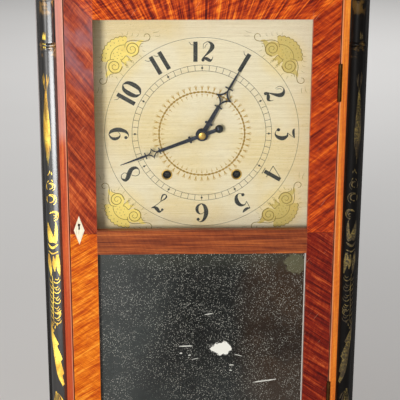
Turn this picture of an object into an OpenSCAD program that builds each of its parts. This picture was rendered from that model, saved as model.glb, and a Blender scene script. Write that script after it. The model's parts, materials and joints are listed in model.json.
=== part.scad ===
// Half-column shelf clock: a veneered case with a hinged door, a painted wooden dial
// and a thirty-hour weight-driven wooden movement that counts the hours on a bell.
// Millimetres, +Z up, the front faces -Y, and the origin is at the centre of the base.

/* [Case] */
// Width of the case over its two sides
case_w = 412; // [404:1:440]
// Depth of the case from the front frame's face to the back
case_d = 128; // [126:1:150]
// Thickness of the side, top and bottom boards
board_t = 14; // [10:1:16]
// Thickness of the back board
back_t = 8; // [5:1:9]
// Height of the front rail below the door
base_rail_h = 58; // [50:1:75]
// Height of the front rail above the door
head_rail_h = 58; // [50:1:75]
// Width of the veneered strip seen between a column and the door
strip_w = 9; // [8:1:14]
// Thickness of the door and of the front frame
door_t = 18; // [16:1:22]

/* [Columns and crest] */
// Radius of a half column's plain shaft
shaft_r = 9.8; // [7:0.1:10]
// Radius of a half column's rings and caps
ring_r = 10.5; // [10.2:0.1:12]
// Margin of the front frame left bare outside each column's rings
column_inset = 3; // [1:0.5:4]
// Height from the top of the column to the middle of its upper double bead
bead_drop = 68; // [50:1:90]
// How far the corner blocks stand out from the front frame
block_out = 12; // [12:1:16]
// Height of the carved crest above the case
crest_h = 96; // [70:1:120]
// Thickness of the crest board
crest_t = 12; // [8:1:16]

/* [Door] */
// Width of the door's stiles
stile_w = 35; // [30:1:38]
// Height of the door's top and bottom rails
rail_h = 34; // [28:1:40]
// Height of the door's middle rail
middle_rail_h = 33; // [28:1:40]
// Height of the opening in front of the dial
dial_opening_h = 275; // [260:1:285]
// Height of the opening that holds the mirror
mirror_opening_h = 290; // [270:1:330]
// Gap round the door
door_gap = 1.2; // [1:0.1:1.6]
// Width of the rebates that hold the glass
rebate_w = 5; // [4:0.5:7]
// Thickness of the dial glass
glass_t = 2; // [1.5:0.1:3]
// Thickness of the looking glass
mirror_t = 3; // [2:0.1:4]

/* [Dial and hands] */
// Width of the dial board
dial_w = 290; // [280:1:300]
// Height of the dial board
dial_h = 296; // [288:1:304]
// Thickness of the dial board
dial_t = 6; // [4:0.5:7]
// Distance from the door's back to the dial
dial_gap = 12; // [11:0.5:14]
// How far the dial's centre lies below the middle of its opening
dial_drop = 16; // [10:1:18]
// Length of the minute hand from its centre to its point
minute_hand_l = 113; // [100:1:118]
// Length of the hour hand from its centre to its point
hour_hand_l = 103; // [90:1:108]
// Angle of the minute hand, clockwise from twelve
minute_hand_deg = 249.5; // [0:0.5:360]
// Angle of the hour hand, clockwise from twelve
hour_hand_deg = 29.5; // [0:0.5:360]

/* [Movement] */
// Thickness of the movement's two plates
plate_t = 8; // [6:0.5:8]
// Distance between the plates
plate_gap = 44; // [44:0.5:45]
// Space between the dial and the front plate
motion_gap = 19; // [19:0.5:20]
// Distance of each winding arbor from the middle, sideways
wind_x = 45.5; // [45:0.1:47]
// Distance of each winding arbor below the dial's centre
wind_drop = 55; // [54.5:0.1:57]
// Radius of the winding drums
drum_r = 18; // [15:0.5:19]
// Length of the pendulum from its pivot to the middle of the bob
pendulum_l = 285; // [260:1:300]
// Radius of the pendulum bob
bob_r = 28; // [20:1:30]
// Radius of the bell's rim
bell_r = 38; // [30:1:38]

/* [Weights] */
// Radius of a weight
weight_r = 27; // [20:0.5:28]
// Height of a weight's body
weight_h = 130; // [90:1:150]
// Radius of the cord
cord_r = 0.8; // [0.6:0.1:1]
// Radius of a pulley's groove
pulley_r = 16; // [12:0.5:18]

/* [Hidden] */
$fn = 48;

// Colours, as the photograph shows them
mahogany = "#8a3a16";
pine = "#b08a5a";
black_paint = "#15120f";
cherry = "#a3683a";
oak = "#9a7646";
dial_cream = "#dccfa6";
blued_steel = "#20242c";
brass = "#b8923f";
iron = "#3a3a3c";
bone = "#e6dcc0";
glass_colour = "#cfe0e0";
mirror_colour = "#4a4c4c";
cord_colour = "#c8b48a";

// Front frame and door
face_y = (block_out - case_d) / 2;
inner_x = case_w / 2 - board_t;
block_w = 2 * ring_r + column_inset;
front_strip_w = block_w + strip_w;
door_w = case_w - 2 * front_strip_w - 2 * door_gap;
door_h = 2 * rail_h + middle_rail_h + dial_opening_h + mirror_opening_h;
door_z = base_rail_h + door_gap;
case_h = door_z + door_h + door_gap + head_rail_h;
column_h = case_h - base_rail_h - head_rail_h;
opening_w = door_w - 2 * stile_w;
mirror_z = door_z + rail_h;
dial_opening_z = mirror_z + mirror_opening_h + middle_rail_h;
glass_clearance = 1;
rebate_front = 8;
pane_w = opening_w + 2 * (rebate_w - glass_clearance);
bolt_clearance = 0.3;

// Dial, plates and their depths behind the front face
dial_z = dial_opening_z + dial_opening_h / 2 - dial_drop;
dial_y = door_t + dial_gap;
front_plate_y = dial_y + dial_t + motion_gap;
plates_in_y = front_plate_y + plate_t;
back_plate_y = plates_in_y + plate_gap;
back_inner_y = case_d - back_t;
back_spacer = back_inner_y - back_plate_y - plate_t;
upright_in = 115;
upright_t = 10;
upright_top = dial_z + dial_h / 2 - 4;
plate_low = 100;
plate_high = 126;
plate_corner = 12;

// Fits
run_clearance = 0.06;
pivot_r = 1.2;
arbor_r = 3;
wind_arbor_r = 4.5;
winding_hole_r = 6.1;
hand_pipe_r = 6;

// Gear trains: teeth, pinion leaves and modules
great_teeth = 60;
leaves = 8;
centre_teeth = 64;
third_teeth = 80;
escape_teeth = 42;
centre_module = 1.3;
third_module = 1.0;
great_reach = norm([wind_x, wind_drop]);
great_module = 2 * great_reach / (great_teeth + leaves);
cannon_teeth = 12;
minute_teeth = 36;
hour_teeth = 48;
cannon_module = 1.0;
hour_module = cannon_module * (cannon_teeth + minute_teeth) / (cannon_teeth + hour_teeth);
pin_teeth = 48;
pin_module = 1.3;
warning_teeth = 40;
warning_module = 1.1;
count_teeth = 78;
count_module = 1.0;

function polar(r, a) = [r * cos(a), r * sin(a)];
function reach(big, small, m) = (big + small) * m / 2;
function bearing(from, to) = atan2(to[1] - from[1], to[0] - from[0]);

// Arbor places in the plane of the dial, from its centre: [right, up]
time_wind_at = [wind_x, -wind_drop];
strike_wind_at = [-wind_x, -wind_drop];
centre_at = [0, 0];
third_at = polar(reach(centre_teeth, leaves, centre_module), 52);
escape_at = third_at + polar(reach(third_teeth, leaves, third_module), 88.5);
verge_drop = 29.1;
verge_at = escape_at + [0, verge_drop];
minute_at = polar(reach(minute_teeth, cannon_teeth, cannon_module), 160);
pin_at = strike_wind_at + polar(reach(great_teeth, leaves, great_module), 105);
warning_at = pin_at + polar(reach(pin_teeth, leaves, pin_module), 85);
fly_at = warning_at + polar(reach(warning_teeth, leaves, warning_module), 60);
count_at = pin_at + polar(reach(count_teeth, leaves, count_module), 95);
hammer_at = [-102, 14];
bell_at = [-30, -165];

// Depths of the wheels behind the plates' inner face
great_y = plates_in_y + 2;
great_t = 5;
centre_y = plates_in_y + 8;
third_y = plates_in_y + 14;
wheel_t = 4;
ratchet_t = 4;
drum_l = 18;
flange_t = 2;
flange_r = drum_r + 5;
pin_y = plates_in_y + 30;
warning_y = plates_in_y + 22;
escape_y = front_plate_y - 5;
escape_t = 2.5;
hour_y = dial_y + dial_t + 2;
motion_t = 3.5;
cannon_y = hour_y + motion_t + 2;
rod_y = hour_y + 8;

// Cord, pulley and weight
cord_line_r = drum_r + cord_r + 0.3;
groove_line_r = pulley_r + cord_r + 0.1;
cord_y = plates_in_y + 20;
weight_x = (upright_in + upright_t + inner_x) / 2;
pulley_at = [weight_x - groove_line_r, case_h - board_t - pulley_r - 12 - dial_z];
weight_low = board_t + 6;
weight_eye = weight_low + weight_h + 7;
eye_r = 5;
drum_to_pulley = pulley_at - time_wind_at;
cord_run_deg = bearing(time_wind_at, pulley_at)
    + asin((cord_line_r + groove_line_r) / norm(drum_to_pulley));

// Places a shape measured from the front frame's face
module in_case() translate([0, face_y, 0]) children();
// Places a shape measured from the dial's centre, with its depth from the front frame's face
module in_movement() translate([0, face_y, dial_z]) children();
// Extrudes a front view from depth y backwards by t
module slab(y, t) translate([0, y + t, 0]) rotate([90, 0, 0]) linear_extrude(t) children();
// A round bar along the depth
module bar(at, y, l, r) slab(y, l) translate(at) circle(r);
// A box given by its lowest corner and its size
module block(low, size) translate(low) cube(size);

// Front view of a wheel: slender teeth that clear their mates at every angle
module gear(teeth, m, tooth_at, slim = 1) {
    pitch_r = teeth * m / 2;
    step = 360 / teeth;
    root_r = pitch_r - 1.15 * m;
    tip_r = pitch_r + 0.8 * m;
    rotate(tooth_at) polygon([
        for (i = [0:teeth - 1]) for (c = [[-0.26 * slim, root_r], [-0.11 * slim, tip_r],
            [0.11 * slim, tip_r], [0.26 * slim, root_r]]) polar(c[1], (i + c[0]) * step)
    ]);
}
// A wheel at a place that meshes towards another place, as the tooth side
module wheel_to(teeth, m, from, to) translate(from) gear(teeth, m, bearing(from, to));
// A pinion at a place that meshes towards another place, as the gap side
module pinion_to(teeth, m, from, to)
    translate(from) gear(teeth, m, bearing(from, to) + 180 / teeth, 0.8);
// A wooden arbor between the plates with its two wire pivots
module arbor(at) {
    bar(at, plates_in_y + 0.4, plate_gap - 0.8, arbor_r);
    bar(at, plates_in_y - plate_t + 1, plate_gap + 2 * plate_t - 2, pivot_r);
}
// Pivot holes through a plate
module pivot_holes(places) for (at = places) translate(at) circle(pivot_r + run_clearance);

// ---- Case ----
module back_board() color(pine) in_case()
    block([-inner_x, back_inner_y, 0], [2 * inner_x, back_t, case_h]);

module case_sides() color(mahogany) in_case()
    for (x = [-case_w / 2, inner_x])
        block([x, door_t, 0], [board_t, case_d - door_t, case_h]);

// The top and bottom boards between the sides
module end_boards() color(pine) in_case() for (z = [0, case_h - board_t])
    block([-inner_x, door_t, z], [2 * inner_x, back_inner_y - door_t, board_t]);

// The upright strips of the front frame, which carry the columns; the right one takes the hinges
module front_strips() color(mahogany) in_case() difference() {
    for (x = [-case_w / 2, case_w / 2 - front_strip_w])
        block([x, 0, 0], [front_strip_w, door_t, case_h]);
    hinge_mortises(false);
}

module front_rail(z, h) in_case()
    block([-case_w / 2 + front_strip_w, 0, z], [case_w - 2 * front_strip_w, door_t, h]);
module head_rail() color(mahogany) front_rail(case_h - head_rail_h, head_rail_h);
module base_rail() color(mahogany) front_rail(0, base_rail_h);

// Half of a turned column: a ring and cap at each end, a neck, a double bead and a long shaft
module ring_profile(z, h, r) {
    translate([0, z]) square([r - h / 2, h]);
    translate([r - h / 2, z + h / 2]) circle(h / 2);
}
module half_column() {
    cap_h = 5;
    bead_h = 5.5;
    neck_r = shaft_r - 1.2;
    module column_end() {
        square([ring_r, cap_h]);
        translate([0, cap_h]) square([neck_r, 2]);
        ring_profile(cap_h + 2, 4, shaft_r + 0.4);
        square([neck_r, bead_drop - bead_h]);
        ring_profile(bead_drop - bead_h, bead_h, ring_r - 0.3);
        ring_profile(bead_drop, bead_h, ring_r - 0.3);
    }
    rotate([0, 0, 180]) rotate_extrude(angle = 180, $fn = 64) {
        column_end();
        translate([0, column_h]) mirror([0, 1]) column_end();
        translate([0, bead_drop]) square([shaft_r, column_h - 2 * bead_drop]);
    }
}
module column(side) in_case()
    translate([side * (case_w / 2 - column_inset - ring_r), 0, base_rail_h]) half_column();
module left_column() color(black_paint) column(-1);
module right_column() color(black_paint) column(1);

// Blocks at the foot and head of each column and at the ends of the crest, those with caps
module corner_blocks() color(mahogany) in_case() {
    crest_block_h = crest_h * 0.75;
    for (side = [-1, 1]) translate([side * (case_w - block_w) / 2, 0, 0]) {
        block([-block_w / 2, -block_out, 0], [block_w, block_out, base_rail_h]);
        block([-block_w / 2, -block_out, case_h - head_rail_h], [block_w, block_out, head_rail_h]);
        block([-block_w / 2, -block_out, case_h], [block_w, block_out + crest_t, crest_block_h]);
        translate([0, (crest_t - block_out) / 2, case_h + crest_block_h])
            cylinder(h = 5, r = block_w / 2 - 1);
    }
}

// A scrolled board between the crest's end blocks: a middle arch, coves and two side lobes
module crest_board() color(mahogany) in_case() {
    half = case_w / 2 - block_w;
    shoulder_h = crest_h * 0.3;
    arch_r = crest_h * 0.62;
    cove_r = crest_h * 0.34;
    lobe_r = crest_h * 0.24;
    translate([0, 0, case_h]) slab(0, crest_t) {
        translate([-half, 0]) square([2 * half, shoulder_h]);
        intersection() {
            translate([0, crest_h - arch_r]) circle(arch_r, $fn = 96);
            translate([-arch_r, 0]) square([2 * arch_r, crest_h]);
        }
        for (side = [0, 1]) mirror([side, 0]) {
            translate([arch_r - 6, 0]) difference() {
                square([cove_r + 4, shoulder_h + cove_r - 6]);
                translate([cove_r + 4, shoulder_h + cove_r]) circle(cove_r);
            }
            translate([half - lobe_r * 2.2, shoulder_h]) intersection() {
                circle(lobe_r);
                translate([-lobe_r, -shoulder_h / 2]) square([2 * lobe_r, lobe_r * 2]);
            }
        }
    }
}

// Boards that carry the movement and wall off the two weight shafts
module movement_uprights() color(pine) in_case()
    for (x = [-upright_in - upright_t, upright_in])
        block([x, dial_y + dial_t, board_t],
            [upright_t, back_inner_y - dial_y - dial_t, upright_top - board_t]);

module dial_board() color(dial_cream) in_movement() slab(dial_y, dial_t) difference() {
    translate([-dial_w / 2, dial_drop - dial_h / 2]) square([dial_w, dial_h]);
    for (at = [time_wind_at, strike_wind_at]) translate(at) circle(winding_hole_r);
    circle(hand_pipe_r + 1.5);
}

// ---- Door ----
module rebate(y0, z0, h) block([-pane_w / 2 - glass_clearance, y0, z0],
    [pane_w + 2 * glass_clearance, door_t, h]);
module glass_rebates() {
    rebate(rebate_front, mirror_z - rebate_w, mirror_opening_h + 2 * rebate_w);
    rebate(rebate_front, dial_opening_z - rebate_w, dial_opening_h + 2 * rebate_w);
}
hinge_leaf_t = 0.8;
mortise_t = hinge_leaf_t + 0.1;
hinge_h = 48;
hinge_d = 14;
knuckle_r = 2.4;
hinge_pin_r = 1;
hinge_x = door_w / 2 + door_gap / 2;
hinge_out = 0.6;
hinge_inset = 90;
hinge_places = [door_z + hinge_inset, door_z + door_h - hinge_inset - hinge_h];
knuckle_gap = 0.3;
// Recesses for the hinge leaves and knuckles, on the door's side or on the case's side
module hinge_mortises(on_door) for (z = hinge_places) {
    block([on_door ? door_w / 2 - mortise_t : door_w / 2 + door_gap, -1, z - 0.2],
        [mortise_t, hinge_d + 1.2, hinge_h + 0.4]);
    translate([hinge_x, -hinge_out, z - 0.2])
        cylinder(h = hinge_h + 0.4, r = knuckle_r + 0.3);
}

lock_x = -door_w / 2 + 12;
lock_z = dial_opening_z + 1;
key_r = 1.8;
key_slot_w = 1.9;
key_l = 8.4;
// Front view of the keyhole, about the middle of the lock
module keyhole() translate([lock_x, lock_z + 5]) {
    translate([0, key_l / 2 - key_r]) circle(key_r);
    translate([-key_slot_w / 2, -key_l / 2]) square([key_slot_w, key_l - key_r]);
}

module door_stile(side) in_case() difference() {
    block([side > 0 ? opening_w / 2 : -door_w / 2, 0, door_z], [stile_w, door_t, door_h]);
    glass_rebates();
    if (side > 0) hinge_mortises(true);
    if (side < 0) slab(-1, door_t + 2) keyhole();
}
module door_left_stile() color(mahogany) door_stile(-1);
module door_right_stile() color(mahogany) door_stile(1);

module door_rail(z, h) in_case() difference() {
    block([-opening_w / 2, 0, z], [opening_w, door_t, h]);
    glass_rebates();
}
module door_top_rail() color(mahogany) door_rail(door_z + door_h - rail_h, rail_h);
module door_middle_rail() color(mahogany) door_rail(mirror_z + mirror_opening_h, middle_rail_h);
module door_bottom_rail() color(mahogany) door_rail(door_z, rail_h);

module pane(y, t, z, h) in_case() block([-pane_w / 2, y, z - rebate_w + glass_clearance],
    [pane_w, t, h + 2 * (rebate_w - glass_clearance)]);
module dial_glass() color(glass_colour, 0.4)
    pane(rebate_front, glass_t, dial_opening_z, dial_opening_h);
module looking_glass() color(mirror_colour)
    pane(rebate_front, mirror_t, mirror_z, mirror_opening_h);
module looking_glass_back() color(pine)
    pane(rebate_front + mirror_t, 4, mirror_z, mirror_opening_h);

// A butt hinge: the case's leaf has the outer knuckles and the pin, the door's leaf the middle one
leaf_y = knuckle_r - hinge_out + 0.3;
third_h = hinge_h / 3;
module hinge_leaf(x, z) block([x, leaf_y, z], [hinge_leaf_t, hinge_d - leaf_y, hinge_h]);
module hinge_knuckle(strap_x, z, h) {
    translate([hinge_x, -hinge_out, z]) cylinder(h = h, r = knuckle_r);
    block([strap_x, -hinge_out, z], [hinge_leaf_t + door_gap / 2, leaf_y + hinge_out + 0.5, h]);
}
module door_hinge_leaves() color(brass) in_case() for (z = hinge_places) difference() {
    union() {
        hinge_leaf(door_w / 2 - hinge_leaf_t, z);
        hinge_knuckle(door_w / 2 - hinge_leaf_t, z + third_h + knuckle_gap,
            third_h - 2 * knuckle_gap);
    }
    translate([hinge_x, -hinge_out, z + third_h - 1])
        cylinder(h = third_h + 2, r = hinge_pin_r + run_clearance);
}
module case_hinge_leaves() color(brass) in_case() for (z = hinge_places) {
    hinge_leaf(door_w / 2 + door_gap, z);
    for (low = [z, z + 2 * third_h]) hinge_knuckle(hinge_x, low, third_h);
    translate([hinge_x, -hinge_out, z]) cylinder(h = hinge_h, r = hinge_pin_r);
}

// A rim lock behind the left stile; its bolt shoots behind the front strip
lock_w = 26;
lock_h = 42;
lock_t = 7;
bolt_h = 12;
bolt_t = 3;
bolt_y = door_t + 1;
module lock_case() color(brass) in_case() difference() {
    block([-door_w / 2 + 2, door_t, lock_z - lock_h / 2], [lock_w, lock_t, lock_h]);
    block([-door_w / 2, bolt_y - bolt_clearance, lock_z - 8 - bolt_clearance],
        [lock_w, bolt_t + 2 * bolt_clearance, bolt_h + 2 * bolt_clearance]);
    slab(0, door_t + lock_t - 2) keyhole();
}
module lock_bolt() color(iron) in_case()
    block([-door_w / 2 + 2.5, bolt_y, lock_z - 8], [16, bolt_t, bolt_h]);

module escutcheon() color(bone) in_case() slab(-0.8, 0.8) difference() {
    translate([lock_x, lock_z]) polygon([[-6.9, 0], [0, 19.5], [6.9, 0], [0, -19.5]]);
    keyhole();
}

// ---- Movement frame ----
pillar_r = 6;
pillar_places = [[-107, -92], [107, -92], [-80, 110], [80, 110]];
module plate_outline() difference() {
    translate([-upright_in, -plate_low]) square([2 * upright_in, plate_low + plate_high]);
    for (side = [-1, 1]) translate([side * upright_in, plate_high]) rotate(45)
        square(plate_corner, center = true);
}
plain_pivots = [third_at, warning_at, fly_at, hammer_at];
module front_plate() color(oak) in_movement() slab(front_plate_y, plate_t) difference() {
    plate_outline();
    pivot_holes(plain_pivots);
    translate(escape_at) circle(arbor_r + 0.5);
    translate(pin_at) circle(arbor_r - 0.5 + run_clearance);
    translate(centre_at) circle(arbor_r + run_clearance);
    for (at = [time_wind_at, strike_wind_at]) translate(at) circle(wind_arbor_r + run_clearance);
}
module back_plate() color(oak) in_movement() slab(back_plate_y, plate_t) difference() {
    plate_outline();
    pivot_holes(concat(plain_pivots, [centre_at, pin_at, escape_at]));
    for (at = [time_wind_at, strike_wind_at]) translate(at) circle(pivot_r + 1 + run_clearance);
}
// Turned pillars between the plates, and blocks that space the movement from the back
module plate_pillars() color(cherry) in_movement() for (at = pillar_places) {
    bar(at, plates_in_y, plate_gap, pillar_r);
    bar(at, plates_in_y + plate_gap / 2 - 4, 8, pillar_r + 2);
    bar(at, back_plate_y + plate_t, back_spacer, pillar_r);
}
// Studs in the front plate for the minute wheel, the count wheel, and the verge and pendulum,
// with the cock that carries the escape wheel's front pivot
stud_r = 2;
verge_pin_r = 1.5;
module motion_studs() color(brass) in_movement() {
    bar(minute_at, hour_y - 0.5, front_plate_y - hour_y + 0.5, stud_r);
    bar(count_at, escape_y - 4, front_plate_y - escape_y + 4, stud_r);
    bar(verge_at, rod_y - 2, front_plate_y - rod_y + 2, verge_pin_r);
    slab(escape_y - 3, 2) difference() {
        translate(escape_at + [-5, -9]) square([24, 13]);
        translate(escape_at) circle(pivot_r + run_clearance);
    }
    bar(escape_at + [15, -24], escape_y - 3, front_plate_y - escape_y + 3, 3);
    slab(escape_y - 3, 2) translate(escape_at + [12, -24]) square([6, 20]);
}

// ---- Winding drums, ratchets and great wheels ----
ratchet_teeth = 24;
ratchet_r = 13;
click_pivot_r = 24;
// Front view of a ratchet: hook = 1 lets it turn clockwise past its click, -1 the other way
module ratchet(hook) polygon([
    for (i = [0:ratchet_teeth - 1]) for (c = [[0, ratchet_r - 1.6], [hook * 0.08, ratchet_r]])
        polar(c[1], (hook * i + c[0]) * 360 / ratchet_teeth)
]);
// A drum on its arbor. Its ratchet lies towards the great wheel; flip says on which side that is
module drum(at, flip) {
    near = flip ? back_plate_y - 2 - great_t : great_y + great_t;
    dir = flip ? -1 : 1;
    module part(start, l, r) bar(at, dir > 0 ? near + start : near - start - l, l, r);
    module ratchet_part()
        slab(dir > 0 ? near + 0.5 : near - 0.5 - ratchet_t, ratchet_t) translate(at)
            ratchet(dir);
    ratchet_part();
    part(0.5 + ratchet_t, flange_t, flange_r);
    part(0.5 + ratchet_t + flange_t, drum_l, drum_r);
    part(0.5 + ratchet_t + flange_t + drum_l, flange_t, flange_r);
    bar(at, front_plate_y - 12, back_plate_y - front_plate_y + 11.5, wind_arbor_r);
    bar(at, back_plate_y - 1, plate_t, pivot_r + 1);
    slab(dial_y + 3, front_plate_y - dial_y - 14) translate(at) square(5, center = true);
}
module great_wheel(at, mate, y) slab(y, great_t) difference() {
    wheel_to(great_teeth, great_module, at, mate);
    translate(at) circle(wind_arbor_r + run_clearance);
}
// The click hangs on a pin in the great wheel, and its point stands just clear of the ratchet
module click(y) slab(y, ratchet_t - 1) translate(time_wind_at + polar(click_pivot_r, 90))
    difference() {
        union() {
            circle(3);
            polygon([[-2.9, 0.6], [-8.6, -8.2], [-8.3, -13.3], [-7, -12], [-5.5, -8], [0.8, -2.8]]);
        }
        circle(1.5 + run_clearance);
    }
module click_pin(at, y, l) bar(at + polar(click_pivot_r, 90), y, l, 1.5);

module time_great_wheel() color(cherry) in_movement() {
    great_wheel(time_wind_at, centre_at, great_y);
    click_pin(time_wind_at, great_y + great_t, ratchet_t);
}
module time_drum() color(cherry) in_movement() drum(time_wind_at, false);
module time_click() color(brass) in_movement()
    click(great_y + great_t + 0.8);

strike_great_y = back_plate_y - 2 - great_t;
module strike_great_wheel() color(cherry) in_movement() {
    great_wheel(strike_wind_at, pin_at, strike_great_y);
    click_pin(strike_wind_at, strike_great_y - ratchet_t, ratchet_t);
}
module strike_drum() color(cherry) in_movement() drum(strike_wind_at, true);
module strike_click() color(brass) in_movement() mirror([1, 0, 0])
    click(strike_great_y - ratchet_t + 0.2);

// ---- Time train ----
module centre_wheel() color(cherry) in_movement() {
    arbor(centre_at);
    slab(centre_y, wheel_t) wheel_to(centre_teeth, centre_module, centre_at, third_at);
    slab(great_y - 0.5, great_t + 1) pinion_to(leaves, great_module, centre_at, time_wind_at);
    bar(centre_at, minute_hand_y, plates_in_y - minute_hand_y + 1, arbor_r);
    slab(cannon_y - 0.5, motion_t + 1) wheel_to(cannon_teeth, cannon_module, centre_at, minute_at);
}
module third_wheel() color(cherry) in_movement() {
    arbor(third_at);
    slab(centre_y - 0.5, wheel_t + 1) pinion_to(leaves, centre_module, third_at, centre_at);
    slab(third_y, wheel_t) wheel_to(third_teeth, third_module, third_at, escape_at);
}
escape_r = 22;
module escape_wheel() color(brass) in_movement() {
    slab(third_y - 0.5, wheel_t + 1) pinion_to(leaves, third_module, escape_at, third_at);
    bar(escape_at, escape_y - 0.5, back_plate_y - escape_y, arbor_r - 0.5);
    bar(escape_at, escape_y - 3, back_plate_y + plate_t - escape_y + 2, pivot_r);
    slab(escape_y, escape_t) translate(escape_at) polygon([
        for (i = [0:escape_teeth - 1]) for (c = [[-0.42, 18.6], [-0.08, escape_r], [0.08, escape_r],
            [0.3, 18.6]]) polar(c[1], 90 + (i + c[0]) * 360 / escape_teeth)
    ]);
}
// A bent strip with two pallets, its hub on the verge pin, and the fork that leads the rod.
// At mid swing both pallets stand just outside the escape wheel's teeth
crutch_l = 20;
pallet_gap = 0.5;
module verge() color(blued_steel) in_movement() translate([verge_at[0], 0, verge_at[1]]) {
    pallet = polar(escape_r + pallet_gap, 90 - 4.5 * 360 / escape_teeth) - [0, verge_drop];
    px = pallet[0];
    pz = pallet[1];
    fork_gap = rod_r + 0.3;
    slab(escape_y, escape_t) difference() {
        union() {
            circle(3.6);
            for (side = [0, 1]) mirror([side, 0]) polygon([[0, 1.2], [px - 2, 0.8],
                [px + 1.6, -3], [px + 0.5, pz], [px - 0.3, pz], [px - 0.4, -3.2],
                [px - 3, -1.2], [0, -1.2]]);
        }
        circle(verge_pin_r + run_clearance);
    }
    slab(rod_y + 1.4, escape_y - rod_y - 1.3) difference() {
        circle(3.6);
        circle(verge_pin_r + run_clearance);
    }
    slab(rod_y + 1.4, escape_y - rod_y - 1.9) {
        translate([-4.6, -crutch_l]) square([1.5, crutch_l - 1]);
        translate([-4.6, -crutch_l]) square([4.6 + fork_gap + 1.2, 2]);
    }
    for (x = [-fork_gap - 1.2, fork_gap])
        block([x, rod_y - 1.5, -crutch_l], [1.2, 3.2, 2]);
}
rod_r = 0.9;
module pendulum_rod() color(brass) in_movement() {
    slab(rod_y - 1, 2) translate(verge_at) difference() {
        union() {
            circle(3.5);
            translate([-rod_r, -pendulum_l * 0.1]) square([2 * rod_r, pendulum_l * 0.1]);
        }
        circle(verge_pin_r + run_clearance);
    }
    translate([verge_at[0], rod_y, verge_at[1] - pendulum_l - bob_r - 8])
        cylinder(h = pendulum_l * 0.92 + bob_r + 8, r = rod_r);
    translate([verge_at[0], rod_y, verge_at[1] - pendulum_l - bob_r - 4])
        cylinder(h = 3.7, r = 3.5);
}
// A lens-shaped bob, bored for the rod
module pendulum_bob() color(brass) in_movement()
    translate([verge_at[0], rod_y, verge_at[1] - pendulum_l]) difference() {
        rotate([90, 0, 0]) rotate_extrude($fn = 96) intersection() {
            lens_r = 80;
            half_t = 5;
            translate([0, half_t - lens_r]) circle(lens_r, $fn = 192);
            translate([0, lens_r - half_t]) circle(lens_r, $fn = 192);
            translate([0, -half_t]) square([bob_r, 2 * half_t]);
        }
        translate([0, 0, -bob_r - 1]) cylinder(h = 2 * bob_r + 2, r = rod_r + run_clearance);
    }

// ---- Motion work and hands ----
module minute_wheel() color(cherry) in_movement() difference() {
    union() {
        slab(cannon_y, motion_t) pinion_to(minute_teeth, cannon_module, minute_at, centre_at);
        slab(hour_y - 0.3, cannon_y - hour_y + 0.4)
            pinion_to(cannon_teeth, hour_module, minute_at, centre_at);
    }
    bar(minute_at, 0, case_d, stud_r + run_clearance);
}
hour_pipe_front = dial_y - 5;
module hour_wheel() color(cherry) in_movement() difference() {
    union() {
        slab(hour_y, motion_t) wheel_to(hour_teeth, hour_module, centre_at, minute_at);
        bar(centre_at, hour_pipe_front, hour_y - hour_pipe_front + 1, hand_pipe_r - 0.5);
    }
    bar(centre_at, 0, case_d, arbor_r + run_clearance);
}

// Front view of a diamond with hollow sides, reaching half sideways and 1.15 half lengthwise
module hollow_diamond(half) {
    tall = half * 1.15;
    side_l = norm([half, tall]);
    bow_r = side_l * 0.85;
    bow_at = [half, tall] / 2 + [tall, half] / side_l * sqrt(bow_r * bow_r - side_l * side_l / 4);
    difference() {
        polygon([[-half, 0], [0, tall], [half, 0], [0, -tall]]);
        for (x = [-1, 1]) for (y = [-1, 1]) translate([x * bow_at[0], y * bow_at[1]]) circle(bow_r);
    }
}
// Front view of a hand: a hub, a bar, an open diamond between cross-bars, and a long point
module hand(l, bar_w, diamond_at, diamond_half, hub_r) {
    cross = bar_w * 0.85;
    foot = diamond_at - diamond_half;
    head = diamond_at + diamond_half;
    difference() {
        union() {
            circle(hub_r);
            polygon([[-bar_w / 2, 0], [-bar_w * 0.36, foot], [bar_w * 0.36, foot], [bar_w / 2, 0]]);
            translate([0, diamond_at]) hollow_diamond(diamond_half);
            translate([-cross, foot - 2.6]) square([2 * cross, 1.6]);
            translate([-cross, head + 0.9]) square([2 * cross, 1.6]);
            translate([-1.1, foot - 1]) square([2.2, 4]);
            translate([-0.9, head - 2]) square([1.8, 4]);
            polygon([[-1.2, head], [-1.5, head + 8], [-0.35, l], [0.35, l], [1.5, head + 8],
                [1.2, head]]);
            for (side = [-1, 1]) translate([side * bar_w * 0.62, hub_r + 9]) circle(1.6);
        }
        translate([0, diamond_at]) hollow_diamond(diamond_half * 0.62);
    }
}
hand_t = 1;
hour_diamond_at = hour_hand_l * 0.544;
minute_diamond_at = minute_hand_l * 0.602;
poise_at = 23.5;
poise_r = 5.8;
minute_hand_y = dial_y - 8.5;
hour_hand_y = hour_pipe_front;
module hour_hand() color(blued_steel) in_movement() rotate([0, hour_hand_deg, 0])
    difference() {
        union() {
            slab(hour_hand_y - hand_t, hand_t) hand(hour_hand_l, 6.4, hour_diamond_at, 12, 8.4);
            bar(centre_at, hour_hand_y - hand_t - 0.4, hand_t + 0.4, 7);
        }
        bar(centre_at, 0, case_d, arbor_r + 0.3);
    }
module minute_hand() color(blued_steel) in_movement() rotate([0, minute_hand_deg, 0]) {
    slab(minute_hand_y, hand_t) difference() {
        union() {
            hand(minute_hand_l, 5.2, minute_diamond_at, 8, 7.5);
            translate([-2.4, -poise_at]) square([4.8, poise_at]);
        }
        circle(arbor_r + run_clearance);
    }
    translate([0, minute_hand_y + hand_t, -poise_at]) rotate([90, 0, 0]) rotate_extrude()
        intersection() {
            translate([0, -poise_r / 3]) circle(poise_r);
            square([poise_r, poise_r]);
        }
    bar(centre_at, minute_hand_y - 1.6, 1.6, 6.2);
}

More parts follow.
